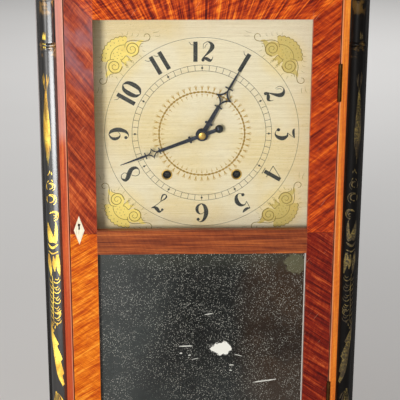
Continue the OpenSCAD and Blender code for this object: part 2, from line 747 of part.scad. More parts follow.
// ---- Strike train ----
pin_circle = 25;
pins = 8;
pin_l = 3.3;
pin_r = 1.4;
module pin_wheel() color(cherry) in_movement() {
    arbor(pin_at);
    slab(pin_y, wheel_t) wheel_to(pin_teeth, pin_module, pin_at, warning_at);
    slab(strike_great_y - 0.5, great_t + 1)
        pinion_to(leaves, great_module, pin_at, strike_wind_at);
    for (i = [0:pins - 1])
        bar(pin_at + polar(pin_circle, (i + 0.5) * 360 / pins), pin_y - pin_l, pin_l + 0.5, pin_r);
    bar(pin_at, escape_y - 1, plates_in_y - escape_y + 2, arbor_r - 0.5);
    slab(escape_y - 0.5, escape_t + 1) wheel_to(leaves, count_module, pin_at, count_at);
}
// The count wheel: a toothed rim, and a disc with one slot after each hour's blows
module count_wheel() color(cherry) in_movement() {
    cam_r = 33;
    difference() {
        union() {
            slab(escape_y, escape_t) pinion_to(count_teeth, count_module, count_at, pin_at);
            slab(escape_y - 3, 3.2) translate(count_at) difference() {
                circle(cam_r, $fn = 96);
                for (hour = [1:12]) rotate(360 * hour * (hour + 1) / 2 / count_teeth + 60)
                    translate([cam_r - 4, -1.1]) square([6, 2.2]);
            }
        }
        bar(count_at, 0, case_d, stud_r + run_clearance);
    }
}
module warning_wheel() color(cherry) in_movement() {
    arbor(warning_at);
    slab(pin_y - 0.5, wheel_t + 1) pinion_to(leaves, pin_module, warning_at, pin_at);
    slab(warning_y, wheel_t) wheel_to(warning_teeth, warning_module, warning_at, fly_at);
}
fan_w = 44;
fan_l = 15;
fan_t = 1.6;
module fly() color(cherry) in_movement() {
    arbor(fly_at);
    slab(warning_y - 0.5, wheel_t + 1) pinion_to(leaves, warning_module, fly_at, warning_at);
    slab(plates_in_y + 3, fan_l) translate(fly_at) square([fan_w, fan_t], center = true);
}
// The hammer: an arbor with a tail that ends beside the wheel's pins, and an arm to the bell
hammer_head_r = 6;
hammer_head_l = 12;
hammer_gap = 1.2;
hammer_arm_y = strike_great_y - 2;
tail_gap = 0.4;
module hammer() color(iron) in_movement() {
    head_at = bell_at + [-bell_r - hammer_head_r - hammer_gap, 0];
    arm = head_at - hammer_at;
    arbor(hammer_at);
    slab(hammer_arm_y - 1, 2) translate(hammer_at) rotate(atan2(arm[1], arm[0]))
        translate([0, -1.2]) square([norm(arm), 2.4]);
    bar(head_at, hammer_arm_y - hammer_head_l / 2, hammer_head_l, hammer_head_r);
    tail = pin_at - [pin_circle + pin_r + tail_gap, 0] - hammer_at;
    slab(pin_y - pin_l + 0.3, 2.4) translate(hammer_at) rotate(atan2(tail[1], tail[0]))
        translate([0, -1]) square([norm(tail), 2]);
}
// A cast dome whose rim the hammer strikes, on a shouldered post from the back board with a nut
bell_rim_y = hammer_arm_y + hammer_head_l / 2;
bell_sphere_r = bell_r * 1.21;
bell_drop = bell_r * 0.58;
bell_t = 3;
bell_post_r = 4;
module bell_dome(sphere_r, rim_r) intersection() {
    translate([0, -bell_drop]) circle(sphere_r, $fn = 96);
    square([rim_r, sphere_r]);
}
module bell() color(iron) in_movement()
    translate([bell_at[0], bell_rim_y, bell_at[1]]) rotate([90, 0, 0])
        rotate_extrude($fn = 64) difference() {
            bell_dome(bell_sphere_r, bell_r);
            bell_dome(bell_sphere_r - bell_t, bell_r - 1);
            square([bell_post_r + run_clearance, bell_sphere_r]);
        }
module bell_post() color(brass) in_movement() {
    crown = bell_sphere_r - bell_drop;
    seat = bell_rim_y - crown + bell_t + 0.5;
    bar(bell_at, bell_rim_y - crown - 6, back_inner_y - bell_rim_y + crown + 6, bell_post_r);
    bar(bell_at, seat, back_inner_y - seat, bell_post_r + 2);
    bar(bell_at, bell_rim_y - crown - 4, 3.7, bell_post_r + 3);
}

// ---- Pulleys, cords and weights ----
pulley_t = 8;
axle_r = 2;
module pulley_wheel(side) in_movement() translate([side * pulley_at[0], cord_y, pulley_at[1]])
    rotate([90, 0, 0]) difference() {
        cylinder(h = pulley_t, r = pulley_r + 3, center = true);
        rotate_extrude() translate([pulley_r + 3.2, 0]) circle(3.2);
        cylinder(h = pulley_t + 2, r = axle_r + run_clearance, center = true);
    }
module time_pulley() color(cherry) pulley_wheel(1);
module strike_pulley() color(cherry) pulley_wheel(-1);
// Cheeks and axles under the top board
cheek_t = 3;
cheek_r = 5;
cheek_gap = 0.4;
module pulley_brackets() color(iron) in_movement() for (side = [-1, 1]) {
    top = case_h - board_t - dial_z;
    reach_y = pulley_t / 2 + cheek_gap;
    for (y = [cord_y - reach_y - cheek_t, cord_y + reach_y])
        slab(y, cheek_t) translate([side * pulley_at[0], pulley_at[1]]) union() {
            circle(cheek_r);
            translate([-cheek_r, 0]) square([2 * cheek_r, top - pulley_at[1]]);
        }
    bar([side * pulley_at[0], pulley_at[1]], cord_y - reach_y - cheek_t,
        2 * (reach_y + cheek_t), axle_r);
}
module weight(side) in_movement() translate([side * weight_x, cord_y, weight_low - dial_z]) {
    cylinder(h = weight_h, r = weight_r);
    translate([0, 0, weight_h]) cylinder(h = 4, r = 5);
    translate([0, 2, weight_h + 7]) rotate([90, 0, 0]) difference() {
        cylinder(h = 4, r = eye_r);
        translate([0, 0, -1]) cylinder(h = 6, r = 2);
    }
}
module time_weight() color(iron) weight(1);
module strike_weight() color(iron) weight(-1);

// Each cord leaves its drum, rises to its pulley and passes over it, then drops to its weight
module cord_run() {
    leave = time_wind_at + polar(cord_line_r, cord_run_deg - 90);
    meet = pulley_at + polar(groove_line_r, cord_run_deg + 90);
    translate([leave[0], cord_y, leave[1]]) rotate([0, 90 - cord_run_deg, 0])
        cylinder(h = norm(meet - leave), r = cord_r);
    translate([pulley_at[0], cord_y, pulley_at[1]]) rotate([90, 0, 0])
        rotate_extrude(angle = cord_run_deg + 90) translate([groove_line_r, 0]) circle(cord_r);
}
module cord_runs() color(cord_colour) in_movement() for (side = [0, 1]) mirror([side, 0, 0])
    cord_run();
module cord_drop(side) in_movement() {
    low = weight_eye + eye_r + 0.1 - dial_z;
    translate([side * weight_x, cord_y, low]) cylinder(h = pulley_at[1] - low, r = cord_r);
}
module time_cord_drop() color(cord_colour) cord_drop(1);
module strike_cord_drop() color(cord_colour) cord_drop(-1);

back_board();
case_sides();
end_boards();
front_strips();
head_rail();
base_rail();
left_column();
right_column();
corner_blocks();
crest_board();
movement_uprights();
dial_board();
pulley_brackets();
case_hinge_leaves();
door_left_stile();
door_right_stile();
door_top_rail();
door_middle_rail();
door_bottom_rail();
dial_glass();
looking_glass();
looking_glass_back();
door_hinge_leaves();
lock_case();
lock_bolt();
escutcheon();
front_plate();
back_plate();
plate_pillars();
motion_studs();
bell();
bell_post();
time_great_wheel();
time_drum();
time_click();
centre_wheel();
third_wheel();
escape_wheel();
verge();
pendulum_rod();
pendulum_bob();
minute_wheel();
hour_wheel();
hour_hand();
minute_hand();
strike_great_wheel();
strike_drum();
strike_click();
pin_wheel();
count_wheel();
warning_wheel();
fly();
hammer();
time_pulley();
strike_pulley();
time_weight();
strike_weight();
cord_runs();
time_cord_drop();
strike_cord_drop();
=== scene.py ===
import json
import logging
import math
from collections.abc import Callable, Iterable
from dataclasses import dataclass
from enum import Enum, IntEnum

import bmesh
import bpy
from mathutils import Matrix, Vector
from mathutils.geometry import tessellate_polygon


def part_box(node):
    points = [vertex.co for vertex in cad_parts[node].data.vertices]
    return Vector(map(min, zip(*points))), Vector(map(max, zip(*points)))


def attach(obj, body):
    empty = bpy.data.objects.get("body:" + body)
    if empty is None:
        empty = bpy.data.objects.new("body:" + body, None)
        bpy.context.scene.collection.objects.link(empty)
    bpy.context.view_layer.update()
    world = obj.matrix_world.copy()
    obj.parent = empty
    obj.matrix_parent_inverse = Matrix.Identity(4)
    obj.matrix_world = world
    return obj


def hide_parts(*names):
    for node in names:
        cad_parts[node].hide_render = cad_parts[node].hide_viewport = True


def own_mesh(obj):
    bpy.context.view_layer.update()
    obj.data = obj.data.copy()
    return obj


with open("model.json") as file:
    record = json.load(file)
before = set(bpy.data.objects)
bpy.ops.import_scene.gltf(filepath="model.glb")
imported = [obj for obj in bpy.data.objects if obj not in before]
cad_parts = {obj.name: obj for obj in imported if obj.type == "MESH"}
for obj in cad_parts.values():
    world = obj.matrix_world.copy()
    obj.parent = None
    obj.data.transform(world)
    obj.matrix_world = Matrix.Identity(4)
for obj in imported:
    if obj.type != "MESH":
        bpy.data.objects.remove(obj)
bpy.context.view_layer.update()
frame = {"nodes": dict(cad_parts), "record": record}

LOG = logging.getLogger("clock")
MM = 0.001
UP = Vector((0, 0, 1))
FRONT = Vector((0, -1, 0))
BACK = Vector((0, 1, 0))
HANDS_Z = 537.7  # height of the hands' arbor, in millimetres

Colour = tuple[float, float, float]
Point = tuple[float, float]
Knot = tuple[float, float, float]
Spot = tuple[float, float, float, float, float]
Surface = Callable[[float, float, float], Vector]
Rule = Callable[[float, float], Point]


class Side(IntEnum):
    """A side of the clock, as the sign of its X."""
    LEFT = -1
    RIGHT = 1


class Train(Enum):
    """A train of the movement: its name in the parts, and the side that it stands on."""
    TIME = ("time", Side.RIGHT)
    STRIKE = ("strike", Side.LEFT)


def seen(red: int, green: int, blue: int) -> Colour:
    """Turns a colour as the eye reads it, 0 to 255, into linear light.

    Args:
        red, green, blue: The colour's three channels.

    Returns:
        The linear colour that a shader takes.
    """
    return tuple((v / 255 / 12.92) if v <= 10 else ((v / 255 + 0.055) / 1.055) ** 2.4
                 for v in (red, green, blue))


def fill_ramp(ramp: bpy.types.ColorRamp, stops: list[tuple[float, Colour]]) -> None:
    """Sets the stops of a colour ramp, and adds those that it lacks.

    Args:
        ramp: The ramp.
        stops: A place from 0 to 1 and a colour for each.
    """
    while len(ramp.elements) < len(stops):
        ramp.elements.new(1.0)
    for element, (at, colour) in zip(ramp.elements, stops):
        element.position, element.color = at, (*colour, 1)


def add_node(tree: bpy.types.NodeTree, kind: str, settings: dict | None = None,
             sockets: dict | None = None) -> bpy.types.Node:
    """Adds a node to a shader tree or a geometry tree.

    Args:
        tree: The tree.
        kind: The node's type.
        settings: Its settings, set first; "stops" fills a ramp.
        sockets: Values, colours or sockets for its inputs, by name or number.

    Returns:
        The node.
    """
    made = tree.nodes.new(kind)
    for key, value in (settings or {}).items():
        if key == "stops":
            fill_ramp(made.color_ramp, value)
        else:
            setattr(made, key, value)
    for key, value in (sockets or {}).items():
        into = made.inputs[key]
        if isinstance(value, bpy.types.NodeSocket):
            tree.links.new(value, into)
        else:
            into.default_value = (*value, 1) if into.type == "RGBA" else value
    return made


# ---- Materials ----

class Signal:
    """A shader socket that does arithmetic: each operator adds the node it needs."""

    def __init__(self, recipe: "Recipe", socket: bpy.types.NodeSocket) -> None:
        """Wraps an output socket of a recipe's tree."""
        self.recipe, self.socket = recipe, socket

    def maths(self, operation: str, *values: "Signal | float") -> "Signal":
        """Adds one Math node.

        Args:
            operation: The node's operation.
            values: Its inputs in order.

        Returns:
            The node's value.
        """
        return self.recipe.node("ShaderNodeMath", {"operation": operation}, dict(enumerate(values)))

    def __add__(self, other: "Signal | float") -> "Signal":
        """Sum."""
        return self.maths("ADD", self, other)

    __radd__ = __add__

    def __sub__(self, other: "Signal | float") -> "Signal":
        """Difference."""
        return self.maths("SUBTRACT", self, other)

    def __rsub__(self, other: float) -> "Signal":
        """Difference from a number."""
        return self.maths("SUBTRACT", other, self)

    def __mul__(self, other: "Signal | float") -> "Signal":
        """Product."""
        return self.maths("MULTIPLY", self, other)

    def __truediv__(self, other: "Signal | float") -> "Signal":
        """Quotient."""
        return self.maths("DIVIDE", self, other)

    def __pow__(self, power: float) -> "Signal":
        """Power."""
        return self.maths("POWER", self, power)

    def __abs__(self) -> "Signal":
        """Size without sign."""
        return self.maths("ABSOLUTE", self)

    def most(self, other: "Signal | float") -> "Signal":
        """The larger of two values."""
        return self.maths("MAXIMUM", self, other)

    def least(self, other: "Signal | float") -> "Signal":
        """The smaller of two values."""
        return self.maths("MINIMUM", self, other)

    def rise(self, low: float, high: float) -> "Signal":
        """A smooth step.

        Args:
            low: The value at which it starts from 0.
            high: The value at which it reaches 1. Below low, the step falls instead.

        Returns:
            The step, from 0 to 1.
        """
        ends = {1: low, 2: high, 3: 0.0, 4: 1.0} if low < high else {1: high, 2: low, 3: 1.0, 4: 0.0}
        return self.recipe.node("ShaderNodeMapRange", {"interpolation_type": "SMOOTHSTEP"},
                                {0: self, **ends})


@dataclass(frozen=True)
class Sheet:
    """One sheet of wood: its colours from dark to light and how its figure runs."""
    stops: tuple[Colour, ...]
    lean: float = 0.0
    stripe: float = 7.0
    length: float = 80.0
    curl: float = 0.35
    fan: float = 0.0


class Recipe:
    """A material being mixed: its node tree and the coordinates of the piece it lies on."""

    def __init__(self, name: str) -> None:
        """Starts an empty material.

        Args:
            name: The material's name.
        """
        self.material = bpy.data.materials.new(name)
        self.material.use_nodes = True
        self.tree = self.material.node_tree
        self.tree.nodes.clear()
        self.where = self.node("ShaderNodeTexCoord", out="Object")
        self.x, self.y, self.z = (
            self.node("ShaderNodeSeparateXYZ", sockets={0: self.where}, out=i) for i in range(3))

    def node(self, kind: str, settings: dict | None = None, sockets: dict | None = None,
             out: int | str = 0) -> Signal:
        """Adds any node.

        Args:
            kind: The node's type.
            settings: Its settings, set first; "stops" fills a ramp.
            sockets: Values or signals for its inputs, by name or number.
            out: The output wanted, by name or number.

        Returns:
            That output.
        """
        plain = {key: value.socket if isinstance(value, Signal) else value
                 for key, value in (sockets or {}).items()}
        return Signal(self, add_node(self.tree, kind, settings, plain).outputs[out])

    def along(self, lean: float, across: float, length: float, fan: float = 0.0) -> Signal:
        """Coordinates counted in stripes of grain.

        Args:
            lean: Degrees that the grain leans right as it rises.
            across: Width of a stripe, in millimetres.
            length: Length of a streak, in millimetres.
            fan: Height in metres of the point the grain spreads from, or 0 for straight grain.

        Returns:
            A vector whose X crosses the grain.
        """
        source = self.where
        if fan:
            spread = self.x / (self.z - fan) * 0.15
            source = self.node("ShaderNodeCombineXYZ", sockets={0: spread, 1: self.y, 2: self.z})
        return self.node("ShaderNodeMapping", {"vector_type": "TEXTURE"}, {
            "Vector": source, "Rotation": (0, math.radians(lean), 0),
            "Scale": (across * MM, across * MM, length * MM)})

    def noise(self, vector: Signal, scale: float = 1.0, detail: float = 3.0, rough: float = 0.5,
              bend: float = 0.0) -> Signal:
        """Noise over a vector.

        Args:
            vector: Where to read it.
            scale: How many lumps there are to a unit.
            detail: How many finer layers it has.
            rough: How strong those layers are.
            bend: How far the lumps are distorted.

        Returns:
            A value about 0.5.
        """
        return self.node("ShaderNodeTexNoise", {}, {
            "Vector": vector, "Scale": scale, "Detail": detail, "Roughness": rough,
            "Distortion": bend})

    def specks(self, scale: float, size: float) -> Signal:
        """Round specks, 1 inside and 0 outside.

        Args:
            scale: Cells to a metre.
            size: A speck's radius as a share of its cell.

        Returns:
            The mask.
        """
        cells = self.node("ShaderNodeTexVoronoi", {}, {"Vector": self.where, "Scale": scale},
                          out="Distance")
        return cells.rise(size, size * 0.5)

    def blend(self, share: Signal | float, below: Signal | Colour, above: Signal | Colour) -> Signal:
        """Mixes two colours.

        Args:
            share: How much of the upper one shows.
            below: The colour at 0.
            above: The colour at 1.

        Returns:
            The mixed colour.
        """
        return self.node("ShaderNodeMix", {"data_type": "RGBA"}, {0: share, 6: below, 7: above},
                         out=2)

    def ramp(self, value: Signal, low: float, high: float, stops: tuple[Colour, ...]) -> Signal:
        """Spreads colours evenly between two values.

        Args:
            value: What picks the colour.
            low: The value of the first colour.
            high: The value of the last.
            stops: The colours.

        Returns:
            The picked colour.
        """
        step = (high - low) / (len(stops) - 1)
        return self.node("ShaderNodeValToRGB", {
            "stops": [(low + i * step, stop) for i, stop in enumerate(stops)]}, {0: value})

    def wood(self, sheet: Sheet) -> tuple[Signal, Signal]:
        """Colour and height of one sheet of wood.

        Args:
            sheet: The wood and its figure.

        Returns:
            Its colour, and its height from 0 to 1.
        """
        broad = self.noise(self.along(sheet.lean, sheet.stripe, sheet.length, sheet.fan),
                           detail=2, bend=0.6)
        fine = self.noise(self.along(sheet.lean, sheet.stripe * 0.16, sheet.length * 0.5, sheet.fan),
                          detail=3, rough=0.6)
        curl = self.noise(self.along(sheet.lean + 68, 2.6, 13), detail=2, bend=0.4)
        pores = self.noise(self.along(sheet.lean, 0.35, 7, sheet.fan), detail=1)
        figure = broad * 0.5 + fine * 0.5 + (curl - 0.5) * sheet.curl
        colour = self.ramp(figure, 0.34, 0.67, sheet.stops)
        open_pores = pores.rise(0.56, 0.68)
        return self.blend(open_pores * 0.45, colour, sheet.stops[0]), 1 - open_pores

    def dress(self, colour: Signal | Colour, roughness: Signal | float = 0.5,
              height: Signal | None = None, depth: float = 0.1, **fixed: object) -> bpy.types.Material:
        """Ends the recipe in one principled shader.

        Args:
            colour: Its base colour.
            roughness: Its roughness.
            height: Relief from 0 to 1, if any.
            depth: How deep that relief is, in millimetres.
            fixed: Other sockets of the shader, their spaces written as underscores.

        Returns:
            The finished material.
        """
        sockets = {key.replace("_", " "): value for key, value in fixed.items()}
        if height is not None:
            sockets["Normal"] = self.node("ShaderNodeBump", {}, {
                "Height": height, "Distance": depth * MM, "Strength": 0.8})
        shader = self.node("ShaderNodeBsdfPrincipled", {}, {
            "Base Color": colour, "Roughness": roughness, **sockets})
        return self.ended(shader)

    def ended(self, shader: Signal) -> bpy.types.Material:
        """Leads a shader to the material's output and gives back the material."""
        add_node(self.tree, "ShaderNodeOutputMaterial", {}, {"Surface": shader.socket})
        return self.material


class Woods(Enum):
    """The sheets of wood in the case and the movement."""
    TOP_RAIL = Sheet((seen(74, 12, 6), seen(140, 34, 10), seen(214, 84, 16), seen(246, 142, 40)),
                     stripe=6, length=90, fan=0.55)
    LEFT_UPPER = Sheet((seen(86, 24, 14), seen(134, 44, 22), seen(176, 72, 32), seen(212, 108, 54)),
                       lean=-38, stripe=6, length=60, curl=0.22)
    LEFT_LOWER = Sheet((seen(156, 48, 8), seen(202, 88, 12), seen(232, 128, 24), seen(250, 170, 60)),
                       lean=58, stripe=4, length=40, curl=0.18)
    RIGHT_UPPER = Sheet((seen(78, 12, 5), seen(140, 36, 8), seen(196, 70, 14), seen(236, 118, 32)),
                        lean=52, stripe=4.5, length=60, curl=0.2)
    RIGHT_LOWER = Sheet((seen(60, 9, 5), seen(100, 18, 8), seen(136, 34, 12), seen(200, 92, 42)),
                        lean=-56, stripe=3.5, length=60, curl=0.15)
    MIDDLE_RAIL = Sheet((seen(84, 28, 12), seen(126, 56, 24), seen(160, 80, 36), seen(196, 110, 50)),
                        lean=90, stripe=4, length=120, curl=0.1)
    LEFT_STRIP = Sheet((seen(150, 44, 16), seen(196, 76, 24), seen(216, 104, 40), seen(232, 136, 62)),
                       stripe=3, length=140, curl=0.1)
    RIGHT_STRIP = Sheet((seen(176, 68, 10), seen(206, 98, 16), seen(232, 132, 28), seen(250, 166, 60)),
                        stripe=3, length=140, curl=0.1)
    CASE = Sheet((seen(76, 22, 10), seen(118, 42, 18), seen(152, 66, 28), seen(182, 96, 46)),
                 stripe=7, length=150, curl=0.15)
    CREST = Sheet((seen(80, 20, 10), seen(128, 44, 18), seen(168, 70, 28), seen(200, 104, 48)),
                  lean=90, stripe=6, length=110, curl=0.3)
    PINE = Sheet((seen(146, 106, 66), seen(176, 134, 88), seen(192, 152, 104), seen(206, 168, 120)),
                 stripe=14, length=260, curl=0.04)
    OAK = Sheet((seen(104, 76, 46), seen(140, 108, 68), seen(162, 130, 86), seen(180, 150, 106)),
                lean=90, stripe=3, length=60, curl=0.12)
    CHERRY = Sheet((seen(112, 62, 34), seen(150, 90, 54), seen(172, 110, 68), seen(190, 132, 88)),
                   lean=20, stripe=3, length=50, curl=0.12)


@dataclass(frozen=True)
class Polish:
    """How a wood is finished: roughness, the coat on it and how deep its pores are."""
    roughness: float
    coat: float
    pore_depth: float = 0.05


@dataclass(frozen=True)
class PlainWood:
    """A board of one wood under one finish."""
    name: str
    sheet: Sheet
    polish: Polish
    grime: float

    def material(self) -> bpy.types.Material:
        """Mixes the board's material.

        Returns:
            The material.
        """
        r = Recipe(self.name)
        colour, height = r.wood(self.sheet)
        dirt = r.noise(r.where, 14, detail=4, rough=0.6).rise(0.5, 0.75) * self.grime
        colour = r.blend(dirt, colour, seen(40, 24, 16))
        return r.dress(colour, self.polish.roughness + dirt * 0.4, height, self.polish.pore_depth,
                       Coat_Weight=self.polish.coat, Coat_Roughness=0.12, Specular_IOR_Level=0.2)


class DoorMember(Enum):
    """A member of the door's frame: its name, and its veneers above and below the seam."""
    LEFT_STILE = ("left", Woods.LEFT_UPPER, Woods.LEFT_LOWER)
    RAIL = ("rail", Woods.TOP_RAIL, Woods.TOP_RAIL)
    RIGHT_STILE = ("right", Woods.RIGHT_UPPER, Woods.RIGHT_LOWER)


@dataclass(frozen=True)
class DoorVeneer:
    """The veneers of the door's frame, each on its own stretch, with mitred corners."""
    half_opening: float
    half_door: float
    frame_low: float
    frame_high: float
    seam: float = 0.4117
    bloom_z: float = 0.655

    def material(self, member: DoorMember) -> bpy.types.Material:
        """Mixes the material of one member of the door.

        Args:
            member: A stile, or the top and bottom rails.

        Returns:
            The material.
        """
        name, above_seam, below_seam = member.value
        r = Recipe(f"door_veneer_{name}")
        colour, height = r.wood(Woods.TOP_RAIL.value)
        middle, reach = (self.frame_low + self.frame_high) / 2, (self.frame_high - self.frame_low) / 2
        mitre = abs(r.z - middle) - reach - (abs(r.x) - self.half_opening)
        glue = abs(mitre).rise(0.0006, 0.0001)
        if member is not DoorMember.RAIL:
            upper, height = r.wood(above_seam.value)
            lower, _ = r.wood(below_seam.value)
            stile = r.blend((r.z - self.seam).rise(-0.0002, 0.0002), lower, upper)
            colour = r.blend(mitre.rise(-0.0002, 0.0002), stile, colour)
            glue = glue.most(abs(r.z - self.seam).rise(0.0005, 0.0001))
        colour = r.blend(glue * 0.75, colour, seen(40, 12, 8))
        # Cloud in the finish's sheen; on the left stile it also frays the painted glare.
        bloom_and_glare = r.noise(r.along(-38, 26, 40), detail=3).rise(0.42, 0.62)
        if member is DoorMember.LEFT_STILE:
            # Painted glare: a pinkish-grey reflection of a light, in a band high on the left stile.
            near = abs(r.z - self.bloom_z).rise(0.075, 0.01)
            colour = r.blend(bloom_and_glare * near * 0.45 + near * 0.1, colour, seen(150, 112, 120))
        # Painted highlight: pale lines along the frame's inner and outer edges, as if they caught the
        # light, broken up by noise.
        inner = abs(abs(r.x) - self.half_opening).rise(0.0009, 0.0003)
        outer_glint = (abs(r.x) - self.half_door).rise(-0.001, -0.0004)
        wear = r.noise(r.along(0, 3, 30), detail=4).rise(0.38, 0.6)
        colour = r.blend((outer_glint * 0.3 + inner * 0.2) * wear, colour, seen(214, 150, 120))
        scratches = r.noise(r.along(37, 0.5, 26), detail=0).rise(0.8, 0.84)
        colour = r.blend(scratches * 0.5, colour, seen(236, 196, 160))
        return r.dress(colour, 0.32 + bloom_and_glare * 0.16, height, 0.04, Coat_Weight=0.06,
                       Coat_Roughness=0.12, Specular_IOR_Level=0.12)


@dataclass(frozen=True)
class StripVeneer:
    """The strips behind the columns: painted pink glare at the upper left, painted highlights at their
    edges, black outside them.
    """
    bloom_from: float = 0.533
    bead: float = 0.1736
    margin: float = 0.1822
    front: float = -0.0575
    outer_edge: float = 0.2048

    def material(self) -> bpy.types.Material:
        """Mixes the material of both strips.

        Returns:
            The material.
        """
        r = Recipe("strip_veneer")
        left, height = r.wood(Woods.LEFT_STRIP.value)
        right, _ = r.wood(Woods.RIGHT_STRIP.value)
        low = (r.z - 0.36).rise(0.08, -0.08)
        left = r.blend(low * 0.6, left, seen(170, 50, 22))
        streak = r.noise(r.along(0, 5, 120), detail=3)
        # Painted glare: pinkish grey over the left strip from mid height up.
        left = r.blend((r.z - self.bloom_from).rise(-0.006, 0.02) * (0.45 + streak * 0.4), left,
                       seen(206, 150, 142))
        stain = abs(r.z - 0.32 + streak * 0.03).rise(0.05, 0.01) * streak.rise(0.45, 0.7)
        right = r.blend(stain * 0.7, right, seen(120, 30, 12))
        colour = r.blend(r.x.rise(-0.01, 0.01), left, right)
        # Painted highlight: a pale line down each strip just beside the door's edge.
        bead = abs(abs(r.x) - self.bead).rise(0.0012, 0.0004)
        colour = r.blend(bead * 0.3, colour, seen(232, 186, 156))
        painted = ((abs(r.x) - self.margin).rise(-0.0004, 0.0004)
                   * (r.y - self.front).rise(0.0003, -0.0003))
        colour = r.blend(painted, colour, seen(14, 11, 10))
        # Painted glare: a whitish line up the left strip's outer edge, over its upper half.
        rubbed = (r.x + self.outer_edge).rise(0.0002, -0.0004) * (r.z - 0.5).rise(-0.1, 0.1)
        colour = r.blend(rubbed * (0.4 + streak * 0.5), colour, seen(176, 170, 168))
        return r.dress(colour, 0.38, height, 0.04, Coat_Weight=0.12, Coat_Roughness=0.15,
                       Specular_IOR_Level=0.3)


@dataclass(frozen=True)
class BlackPaint:
    """Glossy black paint on a column, with traces of gold at its rings and ends."""
    roughness: float
    gold_traces: float
    coat: float
    shine: float = 0.2
    haze: float = 0.18
    middle: float = 0.3922
    ring_from_middle: float = 0.2633
    end_from_middle: float = 0.322

    def material(self, name: str) -> bpy.types.Material:
        """Mixes the paint under a name.

        Args:
            name: The material's name.

        Returns:
            The material.
        """
        r = Recipe(name)
        cloud = r.noise(r.where, 60, detail=5, rough=0.65)
        from_middle = abs(r.z - self.middle)
        rings = abs(from_middle - self.ring_from_middle).rise(0.012, 0.007)
        ends = abs(from_middle - self.end_from_middle).rise(0.022, 0.008)
        trace = (rings + ends).least(1) * cloud.rise(0.5, 0.6)
        colour = r.blend(cloud.rise(0.6, 0.75) * 0.5, seen(12, 10, 9), seen(40, 30, 22))
        colour = r.blend(trace * self.gold_traces, colour, seen(150, 112, 50))
        cracks = r.noise(r.along(0, 1.4, 16), detail=3)
        return r.dress(colour, self.roughness + cloud * 0.08, cracks, 0.03,
                       Coat_Weight=self.coat, Coat_Roughness=self.haze, Coat_IOR=1.75,
                       Specular_IOR_Level=self.shine)


@dataclass(frozen=True)
class GoldLeaf:
    """Bronze powder and leaf laid through a stencil, speckled where it has rubbed away."""
    bright: Colour
    dull: Colour
    worn: float
    coat: float

    def material(self, name: str) -> bpy.types.Material:
        """Mixes the leaf under a name.

        Args:
            name: The material's name.

        Returns:
            The material.
        """
        r = Recipe(name)
        rub = r.noise(r.where, 420, detail=4, rough=0.7)
        cloud = r.noise(r.along(0, 9, 22), detail=3)
        colour = r.blend(cloud.rise(0.35, 0.65), self.dull, self.bright)
        gone = rub.rise(0.66 - self.worn * 0.3, 0.72 - self.worn * 0.2) * (0.4 + cloud * 0.8)
        colour = r.blend(gone.least(1), colour, seen(22, 16, 10))
        return r.dress(colour, 0.34 + rub * 0.2, rub, 0.02, Metallic=0.3, Coat_Weight=self.coat,
                       Coat_Roughness=0.16, Coat_IOR=1.9)


@dataclass(frozen=True)
class DialPaint:
    """Cream paint on a board, warmer in patches, with a faint grain that runs across."""
    centre_z: float
    corner: Point = (0.105, 0.1)

    def material(self) -> bpy.types.Material:
        """Mixes the dial's ground.

        Returns:
            The material.
        """
        r = Recipe("dial_paint")
        patches = r.noise(r.where, 11, detail=4, rough=0.55)
        cream = r.blend(patches.rise(0.4, 0.66), seen(232, 220, 192), seen(228, 208, 160))
        grain = r.noise(r.along(90, 1.3, 60), detail=4, rough=0.6)
        cream = r.blend(grain.rise(0.45, 0.75) * 0.3, cream, seen(196, 172, 120))
        cream = r.blend(grain.rise(0.5, 0.3) * 0.25, cream, seen(250, 240, 212))
        corner_x = abs(r.x) - self.corner[0]
        corner_z = abs(r.z - self.centre_z) - self.corner[1]
        halo = (corner_x * corner_x + corner_z * corner_z) ** 0.5
        cream = r.blend(halo.rise(0.037, 0.016) * 0.45, cream, seen(236, 208, 120))
        fine = r.noise(r.along(90, 0.6, 5), detail=3, rough=0.7)
        cream = r.blend(fine.rise(0.5, 0.72) * 0.28, cream, seen(180, 160, 116))
        flecks = r.specks(240, 0.16) * patches.rise(0.5, 0.62)
        cream = r.blend(flecks * 0.5, cream, seen(150, 120, 70))
        marks = r.noise(r.along(75, 0.5, 22), detail=0).rise(0.79, 0.84)
        cream = r.blend(marks * 0.4, cream, seen(176, 150, 100))
        return r.dress(cream, 0.5 + patches * 0.15, grain, 0.03, Coat_Weight=0.15,
                       Coat_Roughness=0.25)


@dataclass(frozen=True)
class BrushedPaint:
    """A thin paint line or patch on the dial, laid by hand and worn."""
    name: str
    full: Colour
    thin: Colour
    wear: float

    def material(self) -> bpy.types.Material:
        """Mixes the paint.

        Returns:
            The material.
        """
        r = Recipe(self.name)
        hand = r.noise(r.where, 260, detail=4, rough=0.65)
        colour = r.blend(hand.rise(0.45, 0.7) * self.wear, self.full, self.thin)
        return r.dress(colour, 0.45 + hand * 0.2, hand, 0.01)


@dataclass(frozen=True)
class SpandrelPaint:
    """The corners' yellow, bright on the left and duller on the right."""
    left: Colour
    right: Colour

    def material(self) -> bpy.types.Material:
        """Mixes the yellow.

        Returns:
            The material.
        """
        r = Recipe("spandrel_yellow")
        cloud = r.noise(r.where, 90, detail=4, rough=0.6)
        colour = r.blend(r.x.rise(-0.02, 0.02), self.left, self.right)
        colour = r.blend(cloud.rise(0.45, 0.7) * 0.35, colour, seen(222, 184, 84))
        return r.dress(colour, 0.5, cloud, 0.01)


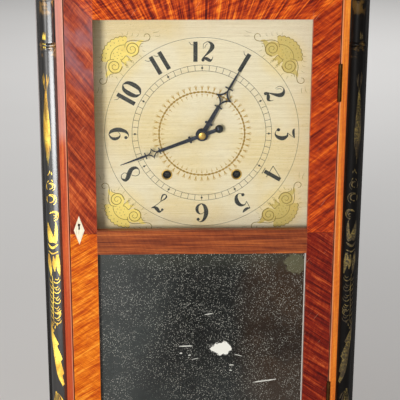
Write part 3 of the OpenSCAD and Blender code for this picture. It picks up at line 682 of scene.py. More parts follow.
@dataclass(frozen=True)
class OldSilvering:
    """A looking glass whose silver has gone dark and speckled, bare in one patch, with a painted
    reflection of the room and of the rebate's edge.

    A bare spot is its middle, its half width and half height in metres, and its lean.
    """
    half_opening: float
    top: float = 0.383
    patch: Spot = (0.026, 0.2445, 0.0128, 0.0095, 0.0)
    corner_stain: Spot = (0.124, 0.3655, 0.0145, 0.0135, 0.0)
    scratches: tuple[Spot, ...] = (
        (-0.0215, 0.248, 0.0085, 0.0009, 0.02), (0.0095, 0.2945, 0.0055, 0.0007, 0.15),
        (0.0865, 0.1955, 0.0165, 0.0009, 0.14), (-0.028, 0.2375, 0.002, 0.001, 0.0),
        (-0.0165, 0.2345, 0.002, 0.0008, 0.1), (0.0405, 0.2195, 0.003, 0.0008, 0.0),
        (0.0395, 0.2115, 0.002, 0.0007, -0.2), (0.0495, 0.234, 0.0055, 0.0005, -0.3),
        (-0.009, 0.229, 0.005, 0.0005, 0.2))

    def mark(self, r: Recipe, ragged: Signal, spot: Spot) -> Signal:
        """A ragged spot where the silver is gone.

        Args:
            r: The recipe.
            ragged: Noise that frays its edge.
            spot: The spot.

        Returns:
            Its mask.
        """
        x, z, wide, tall, lean = spot
        across, up = (r.x - x) / wide, (r.z - z - (r.x - x) * lean) / tall
        return ((across * across + up * up) ** 0.5 + (ragged - 0.5) * 1.6).rise(1.06, 0.94)

    def material(self) -> bpy.types.Material:
        """Mixes the silvering.

        Returns:
            The material.
        """
        r = Recipe("old_silvering")
        cloud = r.noise(r.where, 9, detail=5, rough=0.6)
        wave = (cloud - 0.5) * 0.12
        # Painted reflection: a grey left, a dark middle and a brown right stand for the room seen in the
        # glass.
        ground = r.blend((r.x + wave).rise(-0.02, -0.09), seen(17, 19, 18), seen(50, 54, 53))
        ground = r.blend((r.x + wave).rise(0.035, 0.085), ground, seen(52, 37, 24))
        ground = r.blend(cloud.rise(0.45, 0.62) * 0.55, ground, seen(15, 15, 16))
        band = (r.z - self.top).rise(-0.034, -0.008)
        ground = r.blend(band * 0.12, ground, seen(112, 116, 98))
        dense = r.noise(r.where, 26, detail=4, rough=0.7)
        dust = r.specks(1100, 0.42) * dense.rise(0.36, 0.56)
        grains = r.specks(560, 0.28) * dense.rise(0.3, 0.56)
        # Painted reflection: paler grey towards the left and the bottom, broken by cloud.
        haze = r.x.rise(-0.02, -0.13).most((r.z - 0.24).rise(0.02, -0.1) * 0.7) * cloud
        ground = r.blend(haze * 0.7, ground, seen(84, 88, 88))
        ground = r.blend(dust * 0.32, ground, seen(120, 122, 116))
        ground = r.blend(grains * 0.95, ground, seen(206, 206, 196))
        ragged = r.noise(r.where, 130, detail=5, rough=0.7)
        bare = self.mark(r, ragged, self.patch)
        for scratch in self.scratches:
            bare = bare.most(self.mark(r, ragged, scratch) * 0.8)
        ground = r.blend(bare, ground, seen(232, 232, 224))
        stain = self.mark(r, ragged, self.corner_stain)
        ground = r.blend(stain * 0.5, ground, seen(112, 112, 84))
        # Painted reflection: a pale line down the right edge, the rebate's edge seen in the glass.
        edge = (r.x - self.half_opening).rise(-0.0016, -0.0009)
        ground = r.blend(edge * 0.85, ground, seen(224, 226, 220))
        return r.dress(ground, 0.16 + cloud * 0.25, Metallic=0.1, Specular_IOR_Level=0.2)


@dataclass(frozen=True)
class WindowGlass:
    """Clear old glass: see-through, with a weak reflection and a little dust."""

    def material(self) -> bpy.types.Material:
        """Mixes the glass.

        Returns:
            The material.
        """
        r = Recipe("window_glass")
        clear = r.node("ShaderNodeBsdfTransparent", {}, {"Color": (0.985, 0.99, 0.985)})
        dust = r.noise(r.where, 70, detail=4, rough=0.7).rise(0.55, 0.8)
        gloss = r.node("ShaderNodeBsdfPrincipled", {}, {
            "Base Color": seen(205, 212, 206), "Roughness": 0.03})
        veil = r.node("ShaderNodeFresnel", {}, {"IOR": 1.35}) * 0.7 + dust * 0.012
        return r.ended(r.node("ShaderNodeMixShader", {}, {0: veil, 1: clear, 2: gloss}))


@dataclass(frozen=True)
class OldMetal:
    """A metal with rubbed highlights and tarnish or rust in its hollows."""
    name: str
    bright: Colour
    dark: Colour
    roughness: float
    tarnish: float = 0.5
    metallic: float = 1.0

    def material(self) -> bpy.types.Material:
        """Mixes the metal.

        Returns:
            The material.
        """
        r = Recipe(self.name)
        cloud = r.noise(r.where, 55, detail=5, rough=0.65)
        fine = r.noise(r.where, 700, detail=3, rough=0.6)
        lines = r.noise(r.along(25, 0.25, 8), detail=1)
        colour = r.blend(cloud.rise(0.4, 0.68) * self.tarnish, self.bright, self.dark)
        colour = r.blend(fine.rise(0.58, 0.7) * 0.4 * self.tarnish, colour, self.dark)
        rough = self.roughness + cloud * 0.22 + lines * 0.08
        return r.dress(colour, rough, fine * 0.6 + lines * 0.4, 0.02, Metallic=self.metallic)


@dataclass(frozen=True)
class Bone:
    """Yellowed bone with fine dark pores along it."""

    def material(self) -> bpy.types.Material:
        """Mixes the bone.

        Returns:
            The material.
        """
        r = Recipe("old_bone")
        streak = r.noise(r.along(0, 0.9, 9), detail=4)
        colour = r.blend(streak.rise(0.45, 0.7) * 0.6, seen(240, 232, 208), seen(206, 184, 138))
        rim = r.noise(r.where, 300, detail=3).rise(0.6, 0.75)
        return r.dress(r.blend(rim * 0.3, colour, seen(130, 100, 60)), 0.32, streak, 0.02,
                       Coat_Weight=0.2)


@dataclass(frozen=True)
class Fibre:
    """Laid cord: pale fibres with grey handling dirt."""

    def material(self) -> bpy.types.Material:
        """Mixes the cord.

        Returns:
            The material.
        """
        r = Recipe("laid_cord")
        fibre = r.noise(r.where, 2600, detail=3, rough=0.7)
        dirt = r.noise(r.where, 40, detail=3)
        colour = r.blend(fibre.rise(0.35, 0.7), seen(206, 190, 150), seen(150, 128, 90))
        colour = r.blend(dirt.rise(0.45, 0.7) * 0.5, colour, seen(110, 96, 74))
        return r.dress(colour, 0.85, fibre, 0.05)


class Finishes:
    """Every finish on the clock, mixed once."""

    def __init__(self) -> None:
        """Mixes the materials."""
        stile_low, stile_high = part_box("door_left_stile")
        door = DoorVeneer(half_opening=-stile_high.x, half_door=-stile_low.x,
                          frame_low=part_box("door_bottom_rail")[1].z,
                          frame_high=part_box("door_top_rail")[0].z)
        self.door = {member: door.material(member) for member in DoorMember}
        plain = {
            "middle_rail": (Woods.MIDDLE_RAIL, Polish(0.36, 0.05), 0.15),
            "case_veneer": (Woods.CASE, Polish(0.4, 0.12), 0.3),
            "crest_veneer": (Woods.CREST, Polish(0.36, 0.15), 0.25),
            "old_pine": (Woods.PINE, Polish(0.7, 0.0, 0.1), 0.3),
            "oak_plate": (Woods.OAK, Polish(0.62, 0.0, 0.12), 0.35),
            "turned_cherry": (Woods.CHERRY, Polish(0.5, 0.1, 0.06), 0.3),
        }
        self.woods = {name: PlainWood(name, wood.value, polish, grime).material()
                      for name, (wood, polish, grime) in plain.items()}
        self.strips = StripVeneer().material()
        self.black = {
            Side.LEFT: BlackPaint(roughness=0.3, gold_traces=0.6, coat=0.85,
                                  haze=0.34).material("black_paint_left"),
            Side.RIGHT: BlackPaint(roughness=0.4, gold_traces=0.25, coat=0.02,
                                   shine=0.08).material("black_paint_right")}
        self.gold = {
            Side.LEFT: GoldLeaf(seen(238, 206, 84), seen(192, 144, 42), worn=0.3,
                                coat=0.25).material("gold_leaf"),
            # The right column's gold is a darker copy of the left's: painted shade for the unlit right
            # column, with heavier wear.
            Side.RIGHT: GoldLeaf(seen(132, 112, 54), seen(70, 54, 26), worn=0.8,
                                 coat=0.05).material("dull_gold")}
        self.dial = DialPaint(HANDS_Z * MM).material()
        self.ink = BrushedPaint("numeral_ink", seen(24, 26, 24), seen(92, 88, 76), 0.35).material()
        self.thin_ink = BrushedPaint("thin_ink", seen(70, 66, 54), seen(140, 128, 100), 0.4).material()
        self.gilt_line = BrushedPaint("gilt_line", seen(182, 142, 48), seen(204, 170, 92), 0.4).material()
        self.olive = BrushedPaint("olive_line", seen(126, 104, 22), seen(176, 150, 60), 0.5).material()
        self.spandrel = SpandrelPaint(seen(246, 222, 118), seen(206, 184, 104)).material()
        self.silvering = OldSilvering(-stile_high.x).material()
        self.glass = WindowGlass().material()
        self.brass = OldMetal("old_brass", seen(214, 176, 92), seen(112, 82, 38), 0.26).material()
        self.hinge = OldMetal("dull_brass", seen(92, 64, 34), seen(48, 34, 22), 0.45, 0.7).material()
        # Near-black iron for the winding squares: painted shade, so the winding holes read dark.
        self.dark_iron = OldMetal("sooty_iron", seen(30, 27, 25), seen(10, 9, 8), 0.6, 0.6, 0.2).material()
        self.iron = OldMetal("cast_iron", seen(92, 90, 88), seen(58, 38, 26), 0.5, 0.7, 0.8).material()
        self.steel = OldMetal("grey_steel", seen(168, 166, 162), seen(84, 74, 64), 0.3).material()
        self.blued = OldMetal("blued_steel", seen(58, 61, 72), seen(22, 22, 27), 0.22, 0.5).material()
        self.bone = Bone().material()
        self.cord = Fibre().material()

    def dress_nodes(self) -> None:
        """Gives every carried-over part its finish."""
        veneer, pine, cherry = (self.woods[n] for n in ("case_veneer", "old_pine", "turned_cherry"))
        by_part = {
            "door_left_stile": self.door[DoorMember.LEFT_STILE],
            "door_right_stile": self.door[DoorMember.RIGHT_STILE],
            "door_top_rail": self.door[DoorMember.RAIL],
            "door_bottom_rail": self.door[DoorMember.RAIL],
            "door_middle_rail": self.woods["middle_rail"], "front_strips": self.strips,
            "head_rail": self.woods["crest_veneer"], "base_rail": self.woods["crest_veneer"],
            "crest_board": self.woods["crest_veneer"], "corner_blocks": veneer,
            "left_column": self.black[Side.LEFT], "right_column": self.black[Side.RIGHT],
            "dial_board": self.dial, "dial_glass": self.glass, "looking_glass": self.silvering,
            "door_hinge_leaves": self.hinge, "case_hinge_leaves": self.hinge,
        }
        by_slot = {
            "pine": pine, "mahogany": veneer, "iron": self.iron, "brass": self.brass,
            "steel": self.steel, "bone": self.bone, "oak": self.woods["oak_plate"],
            "cherry": cherry, "blued_steel": self.blued, "cord": self.cord,
        }
        slots = {node: row["slot"] for row in frame["record"]["materials"]
                 for node in row.get("nodes", [])}
        for name, part in frame["nodes"].items():
            finish = by_part.get(name) or by_slot[slots.get(name) or self.slot_of(part)]
            for slot in part.material_slots:
                slot.material = finish

    @staticmethod
    def slot_of(part: bpy.types.Object) -> str:
        """The material slot that a part was packed with, read from its own material's name."""
        return part.data.materials[0].name.split(".")[0]


# ---- Shapes ----

def middle_of(node: str) -> Vector:
    """The middle of a part's box, in millimetres."""
    low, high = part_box(node)
    return (low + high) / 2 / MM


def level(x: float, y: float, height: float) -> Vector:
    """A place on a level surface at the origin."""
    return Vector((x, y, height)) * MM


def polar(centre: Point, radius: float, degrees: float) -> Point:
    """The point at a radius and an angle from a centre."""
    a = math.radians(degrees)
    return centre[0] + radius * math.cos(a), centre[1] + radius * math.sin(a)


def through(knots: list[Knot], steps: int) -> list[Knot]:
    """Runs a smooth line through knots.

    Args:
        knots: Points with a width each.
        steps: Points made for each stretch.

    Returns:
        The line's points with their widths.
    """
    ends = [knots[0], *knots, knots[-1]]
    line = []
    for before, start, end, after in zip(ends, ends[1:], ends[2:], ends[3:]):
        for i in range(steps):
            t = i / steps
            line.append(tuple(
                0.5 * (2 * b + (c - a) * t + (2 * a - 5 * b + 4 * c - d) * t * t
                       + (3 * b - a - 3 * c + d) * t ** 3)
                for a, b, c, d in zip(before, start, end, after)))
    return [*line, knots[-1]]


class Drawing:
    """Flat painted shapes in millimetres, gathered before they are laid on a surface."""

    def __init__(self) -> None:
        """Starts with nothing drawn."""
        self.points: list[Point] = []
        self.faces: list[tuple[int, ...]] = []
        self.rises: list[float] = []
        self.shapes = 0

    def stack(self) -> "Drawing":
        """Gives the last shape's points a height of its own, so that no two films coincide.

        Returns:
            The drawing.
        """
        self.rises += [self.shapes % 7 * 0.006] * (len(self.points) - len(self.rises))
        self.shapes += 1
        return self

    def patch(self, outline: list[Point]) -> "Drawing":
        """Fills an outline.

        Args:
            outline: Its corners in order.

        Returns:
            The drawing.
        """
        start = len(self.points)
        self.points += outline
        flat = [Vector((x, y, 0)) for x, y in outline]
        self.faces += [tuple(start + i for i in tri) for tri in tessellate_polygon([flat])]
        return self.stack()

    def disc(self, x: float, y: float, radius: float, sides: int = 18) -> "Drawing":
        """Fills a circle."""
        return self.patch([polar((x, y), radius, 360 * i / sides) for i in range(sides)])

    def ribbon(self, knots: list[Knot], steps: int = 7, lanes: int = 1) -> "Drawing":
        """Draws a stroke whose width swells and thins.

        Args:
            knots: Points with the stroke's width at each.
            steps: Points made for each stretch.
            lanes: Strips side by side, so that a wide stroke can bend round a column.

        Returns:
            The drawing.
        """
        line = through(knots, steps)
        start = len(self.points)
        for i, (x, y, width) in enumerate(line):
            ahead, behind = line[min(i + 1, len(line) - 1)], line[max(i - 1, 0)]
            dx, dy = ahead[0] - behind[0], ahead[1] - behind[1]
            size = math.hypot(dx, dy) or 1.0
            for lane in range(lanes + 1):
                side = max(width, 0.05) * (lane / lanes - 0.5)
                self.points.append((x - dy / size * side, y + dx / size * side))
        row = lanes + 1
        self.faces += [(start + i * row + j, start + i * row + j + 1,
                        start + (i + 1) * row + j + 1, start + (i + 1) * row + j)
                       for i in range(len(line) - 1) for j in range(lanes)]
        return self.stack()

    def ring(self, radius: float, width: float, sides: int = 160) -> "Drawing":
        """Draws a circle's line about the origin.

        Args:
            radius: The circle's radius.
            width: The line's width.
            sides: Points round it.

        Returns:
            The drawing.
        """
        start = len(self.points)
        for i in range(sides):
            a = math.tau * i / sides
            self.points += [((radius + s * width / 2) * math.sin(a),
                             (radius + s * width / 2) * math.cos(a)) for s in (-1, 1)]
        self.faces += [(start + 2 * i, start + 2 * i + 1, start + 2 * ((i + 1) % sides) + 1,
                        start + 2 * ((i + 1) % sides)) for i in range(sides)]
        return self.stack()

    def add(self, other: "Drawing", change: Rule) -> "Drawing":
        """Adds another drawing, a little higher than the one added before it.

        Args:
            other: The other drawing.
            change: The rule by which each of its points is moved.

        Returns:
            The drawing.
        """
        start = len(self.points)
        self.points += [change(x, y) for x, y in other.points]
        self.rises += [rise + self.shapes % 6 * 0.001 for rise in other.rises]
        self.shapes += 1
        self.faces += [tuple(start + i for i in face) for face in other.faces]
        return self

    def lay(self, name: str, surface: Surface, film: float = 0.05,
            lift: float = 0.02) -> bpy.types.Mesh:
        """Lays the drawing on a surface as a closed film.

        Args:
            name: The mesh's name.
            surface: Turns two drawing coordinates and a height into a place.
            film: The film's thickness, in millimetres.
            lift: Its height over the surface, in millimetres.

        Returns:
            The film.
        """
        mesh = bpy.data.meshes.new(name)
        count = len(self.points)
        places = [surface(x, y, h + rise) for h in (lift + film, lift)
                  for (x, y), rise in zip(self.points, self.rises)]
        edges = dict.fromkeys(edge for face in self.faces for edge in zip(face, (*face[1:], face[0])))
        rims = [(a, a + count, b + count, b) for a, b in edges if (b, a) not in edges]
        backs = [tuple(i + count for i in reversed(face)) for face in self.faces]
        mesh.from_pydata(places, [], [*self.faces, *backs, *rims])
        return tidy(mesh)


def tidy(mesh: bpy.types.Mesh, smooth: bool = False) -> bpy.types.Mesh:
    """Merges doubles, turns every face outwards and sets the shading.

    Args:
        mesh: The mesh to tidy.
        smooth: True for a rounded surface.

    Returns:
        The same mesh.
    """
    work = bmesh.new()
    work.from_mesh(mesh)
    bmesh.ops.remove_doubles(work, verts=work.verts, dist=1e-7)
    bmesh.ops.dissolve_degenerate(work, edges=work.edges, dist=1e-8)
    bmesh.ops.recalc_face_normals(work, faces=work.faces)
    for face in work.faces:
        face.smooth = smooth
    work.to_mesh(mesh)
    work.free()
    mesh.update()
    return mesh


def place(mesh: bpy.types.Mesh, name: str, body: str, finish: bpy.types.Material,
          replaced: Iterable[str] = ()) -> bpy.types.Object:
    """Makes a finished piece of a mesh.

    Args:
        mesh: The piece's mesh, in place.
        name: The piece's name.
        body: The body that it rides on.
        finish: Its material.
        replaced: The parts that it stands for.

    Returns:
        The piece.
    """
    piece = bpy.data.objects.new(name, mesh)
    bpy.context.scene.collection.objects.link(piece)
    mesh.materials.clear()
    mesh.materials.append(finish)
    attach(piece, body)
    if replaced:
        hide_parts(*replaced)
    LOG.info("%s: %d faces on %s", name, len(mesh.polygons), body)
    return piece


def joined(name: str, meshes: list[bpy.types.Mesh]) -> bpy.types.Mesh:
    """Joins meshes into one.

    Args:
        name: The new mesh's name.
        meshes: What to join.

    Returns:
        The joined mesh.
    """
    work = bmesh.new()
    for mesh in meshes:
        work.from_mesh(mesh)
    whole = bpy.data.meshes.new(name)
    work.to_mesh(whole)
    work.free()
    return whole


def lathe(name: str, profile: list[Point], at: Vector, axis: Vector = FRONT,
          sides: int = 40) -> bpy.types.Mesh:
    """Turns a closed profile about an axis.

    Args:
        name: The mesh's name.
        profile: Radius and distance along the axis, in millimetres.
        at: Where the axis starts, in metres.
        axis: Its direction.
        sides: Faces round it.

    Returns:
        The turned mesh.
    """
    turn = UP.rotation_difference(axis).to_matrix()
    places, faces, count = [], [], len(profile)
    for i in range(sides):
        a = math.tau * i / sides
        places += [at + turn @ Vector((r * math.cos(a), r * math.sin(a), h)) * MM
                   for r, h in profile]
    for i in range(sides):
        here, there = i * count, (i + 1) % sides * count
        faces += [(here + j, there + j, there + (j + 1) % count, here + (j + 1) % count)
                  for j in range(count)]
    mesh = bpy.data.meshes.new(name)
    mesh.from_pydata(places, [], faces)
    return tidy(mesh, True)


class TreeBuilder:
    """Builds a geometry tree with named inputs and runs it on a mesh."""

    def __init__(self, name: str, inputs: dict[str, str]) -> None:
        """Starts a tree.

        Args:
            name: The tree's name.
            inputs: Its inputs' names and socket types, after the geometry.
        """
        self.tree = bpy.data.node_groups.new(name, "GeometryNodeTree")
        face = self.tree.interface
        face.new_socket("Mark", in_out="INPUT", socket_type="NodeSocketGeometry")
        for label, kind in inputs.items():
            face.new_socket(label, in_out="INPUT", socket_type=kind)
        face.new_socket("Finish", in_out="INPUT", socket_type="NodeSocketMaterial")
        face.new_socket("Result", in_out="OUTPUT", socket_type="NodeSocketGeometry")
        self.given = self.tree.nodes.new("NodeGroupInput").outputs

    def node(self, kind: str, settings: dict | None = None, sockets: dict | None = None,
             out: int | str = 0) -> bpy.types.NodeSocket:
        """Adds a node.

        Args:
            kind: The node's type.
            settings: Its settings, set first.
            sockets: Values or sockets for its inputs.
            out: The output wanted.

        Returns:
            That output.
        """
        return add_node(self.tree, kind, settings, sockets).outputs[out]

    def close(self, instances: bpy.types.NodeSocket) -> None:
        """Ends the tree in Realize Instances and Set Material.

        Args:
            instances: The repeated marks.
        """
        real = self.node("GeometryNodeRealizeInstances", {}, {0: instances})
        done = self.node("GeometryNodeSetMaterial", {}, {
            "Geometry": real, "Material": self.given["Finish"]})
        add_node(self.tree, "NodeGroupOutput", {}, {0: done})

    def run(self, name: str, mark: bpy.types.Mesh, values: dict[str, object],
            finish: bpy.types.Material) -> bpy.types.Mesh:
        """Runs the tree on a mark.

        Args:
            name: The result's name.
            mark: The mesh to repeat.
            values: The inputs' values by name.
            finish: The result's material.

        Returns:
            A plain mesh.
        """
        holder = bpy.data.objects.new(name + "_maker", mark)
        bpy.context.scene.collection.objects.link(holder)
        live = holder.modifiers.new("repeat", "NODES")
        live.node_group = self.tree
        keys = {item.name: item.identifier for item in self.tree.interface.items_tree
                if item.in_out == "INPUT"}
        for label, value in {**values, "Finish": finish}.items():
            live[keys[label]] = value
        bpy.context.view_layer.update()
        graph = bpy.context.evaluated_depsgraph_get()
        mesh = bpy.data.meshes.new_from_object(holder.evaluated_get(graph))
        mesh.name = name
        holder.modifiers.remove(live)
        bpy.data.objects.remove(holder)
        return mesh


class RoundTree(TreeBuilder):
    """Sets copies of a mark round a circle that faces the front."""

    def __init__(self) -> None:
        """Builds the tree."""
        super().__init__("marks_round_a_circle", {
            "Count": "NodeSocketInt", "Radius": "NodeSocketFloat", "Centre": "NodeSocketVector"})
        share = self.maths("DIVIDE", self.node("GeometryNodeInputIndex"), self.given["Count"])
        angle = self.maths("MULTIPLY", share, math.tau)
        across = self.maths("MULTIPLY", self.maths("SINE", angle), self.given["Radius"])
        up = self.maths("MULTIPLY", self.maths("COSINE", angle), self.given["Radius"])
        spot = self.node("ShaderNodeCombineXYZ", {}, {0: across, 2: up})
        spot = self.node("ShaderNodeVectorMath", {"operation": "ADD"},
                         {0: spot, 1: self.given["Centre"]})
        points = self.node("GeometryNodePoints", {}, {"Count": self.given["Count"],
                                                      "Position": spot})
        turn = self.node("ShaderNodeCombineXYZ", {}, {1: angle})
        self.close(self.node("GeometryNodeInstanceOnPoints", {}, {
            "Points": points, "Instance": self.given["Mark"], "Rotation": turn}))

    def maths(self, operation: str, *values: object) -> bpy.types.NodeSocket:
        """Adds a Math node."""
        return self.node("ShaderNodeMath", {"operation": operation}, dict(enumerate(values)))

    def repeat(self, name: str, mark: Drawing, count: int, radius: float, centre: Vector,
               finish: bpy.types.Material) -> bpy.types.Mesh:
        """Repeats a drawn mark.

        Args:
            name: The result's name.
            mark: The mark, drawn about the origin with its top outwards.
            count: How many there are.
            radius: The circle's radius, in millimetres.
            centre: The circle's centre, in metres.
            finish: Their material.

        Returns:
            One mesh of all the marks.
        """
        mesh = mark.lay(name + "_mark", lambda x, z, h: Vector((x, -h, z)) * MM)
        return self.run(name, mesh, {"Count": count, "Radius": radius * MM, "Centre": centre}, finish)


class PlacesTree(TreeBuilder):
    """Sets copies of a mark on the points of another object, each with its own turn."""

    def __init__(self) -> None:
        """Builds the tree."""
        super().__init__("marks_on_places", {"Places": "NodeSocketObject",
                                             "Most turn": "NodeSocketFloat"})
        places = self.node("GeometryNodeObjectInfo", {}, {"Object": self.given["Places"]},
                           out="Geometry")
        facing = self.node("GeometryNodeInputNamedAttribute", {"data_type": "FLOAT_VECTOR"},
                           {"Name": "facing"})
        aligned = self.node("FunctionNodeAlignRotationToVector", {"axis": "Z"},
                            {"Vector": facing})
        turn = self.node("FunctionNodeRandomValue", {"data_type": "FLOAT"}, {
            "Min": 0.0, "Max": self.given["Most turn"], "Seed": 7}, out="Value")
        spin = self.node("ShaderNodeCombineXYZ", {}, {2: turn})
        spin = self.node("FunctionNodeEulerToRotation", {}, {0: spin})
        both = self.node("FunctionNodeRotateRotation", {"rotation_space": "LOCAL"},
                         {"Rotation": aligned, "Rotate By": spin})
        self.close(self.node("GeometryNodeInstanceOnPoints", {}, {
            "Points": places, "Instance": self.given["Mark"], "Rotation": both}))

    def set_on(self, name: str, mark: bpy.types.Mesh, places: list[tuple[Vector, Vector]],
               finish: bpy.types.Material, most_turn: float = 3.0) -> bpy.types.Mesh:
        """Sets a mark on places.

        Args:
            name: The result's name.
            mark: The mark, facing up about the origin.
            places: A point and the direction that the mark faces, for each.
            finish: Their material.
            most_turn: The most that one is turned about its own axis, in radians.

        Returns:
            One mesh of all the marks.
        """
        cloud = bpy.data.meshes.new(name + "_places")
        cloud.from_pydata([at for at, _ in places], [], [])
        facing = cloud.attributes.new("facing", "FLOAT_VECTOR", "POINT")
        for row, (_, direction) in zip(facing.data, places):
            row.vector = direction
        holder = bpy.data.objects.new(name + "_places", cloud)
        bpy.context.scene.collection.objects.link(holder)
        mesh = self.run(name, mark, {"Places": holder, "Most turn": most_turn}, finish)
        bpy.data.objects.remove(holder)
        return mesh


# ---- The dial ----

# Fat-faced figures, 26 mm tall about their own middle: a list is a stroke of points with its
# width at each, and a tuple is a dot's middle and radius. A 9 is a 6 turned over.
FIGURES: dict[str, list[list[Knot] | Knot]] = {
    "0": [[(0, -12.9, 0.9), (5, -8.6, 4.2), (6.4, 0, 5.8), (5, 8.6, 4.2), (0, 12.9, 0.9)],
          [(0, 12.9, 0.9), (-5, 8.6, 4.2), (-6.4, 0, 5.8), (-5, -8.6, 4.2), (0, -12.9, 0.9)]],
    "1": [[(0, 12.9, 5.4), (0, -12.9, 5.4)], [(-2.4, 8.6, 0.8), (-5.6, 9.4, 0.7), (-8.4, 12.8, 0.5)]],
    "2": [[(-4.8, 3.8, 0.5), (-4.6, 9.6, 0.7), (0, 12.7, 0.9), (4.6, 11, 3.2), (6.6, 6.8, 5.6),
           (4.6, 2.2, 4.6), (0, -2.8, 2.6), (-5, -7.6, 0.8)],
          [(-6.2, -9, 0.9), (-4, -7.9, 2.6), (0, -9.4, 4.4), (3.8, -11.3, 3.6), (6.6, -9.2, 1),
           (7.4, -6, 0.6)],
          (-5.2, -10.6, 2.1), [(-3.2, 4.4, 0.5), (-1.6, 8.4, 0.6), (0.8, 10.4, 0.5)]],
    "3": [[(-6.4, 12.9, 0.5), (-4, 11.2, 3), (1, 11.4, 3.2), (6.2, 12.9, 0.8)],
          [(6.2, 12.9, 0.7), (2.6, 7.6, 0.8), (-0.8, 3.4, 0.8)],
          [(-0.8, 3.4, 0.8), (3.4, 3, 2.8), (6.4, -2.8, 5.8), (4.4, -9.6, 4), (0, -12.6, 1.2),
           (-4.6, -10.6, 0.8)], (-5, -8.4, 2.2)],
    "4": [[(3, 12.9, 5.2), (3, -11, 5.2)], [(-1.4, -12.4, 1), (7.4, -12.4, 1)],
          [(1, 12.6, 0.8), (-8.6, -4.8, 0.8)], [(-8.6, -4.8, 0.9), (8.8, -4.8, 0.9)]],
    "5": [[(-4.8, 12.7, 0.6), (-1.6, 10.9, 3.2), (3, 11.4, 3.6), (6.8, 13, 0.6)],
          [(-4.6, 12.2, 0.8), (-5.2, 1.6, 0.8)],
          [(-5.2, 1.6, 0.8), (-1, 4.6, 1.4), (4, 2.4, 4), (6, -3.6, 5.8), (3.6, -10.2, 3.8),
           (-1, -12.7, 1), (-5, -10.6, 0.8)], (-5.4, -8.6, 2.2)],
    "6": [[(5.2, 10.4, 0.8), (2, 12.8, 0.9), (-3.2, 9.2, 3.8), (-6, 0, 5.8), (-4.2, -8.8, 4.4),
           (0.4, -12.8, 1)],
          [(0.4, -12.8, 1), (4.8, -9.6, 3), (6.2, -4.8, 4.2), (4.4, 0, 2.8), (0.8, 1.8, 0.9),
           (-3.4, -0.8, 0.7)], (4.6, 9.2, 2.1)],
    "7": [[(-7, 8.6, 0.8), (-4.6, 12, 3.2), (0, 10.2, 4.8), (4, 9.8, 3.2), (7.2, 12.8, 0.7)],
          [(7.2, 12.8, 0.7), (3, 5, 0.8), (0.8, -1.6, 0.9)], (-6.6, 7.6, 1.7),
          [(0.8, -1.4, 0.9), (-1.9, -6.4, 1.7), (-2.6, -10.6, 2.1), (0, -12.9, 0.9)],
          [(0.8, -1.4, 0.9), (2.3, -6.4, 1.7), (2.6, -10.6, 2.1), (0, -12.9, 0.9)]],
    "8": [[(4.8, 10.6, 0.8), (1, 12.9, 1.2), (-3.8, 10.4, 3.8), (-2.8, 6, 5.2), (1.4, 1, 6),
           (4.8, -4.4, 5.2), (4, -10.2, 3.6), (0, -12.9, 1)],
          [(0, -12.9, 0.9), (-5.4, -10.2, 1), (-5.8, -4.8, 0.8), (-1.8, -0.6, 0.8)],
          [(1.8, 2.8, 0.8), (5.4, 6.2, 0.8), (4.8, 10.6, 0.8)]],
}


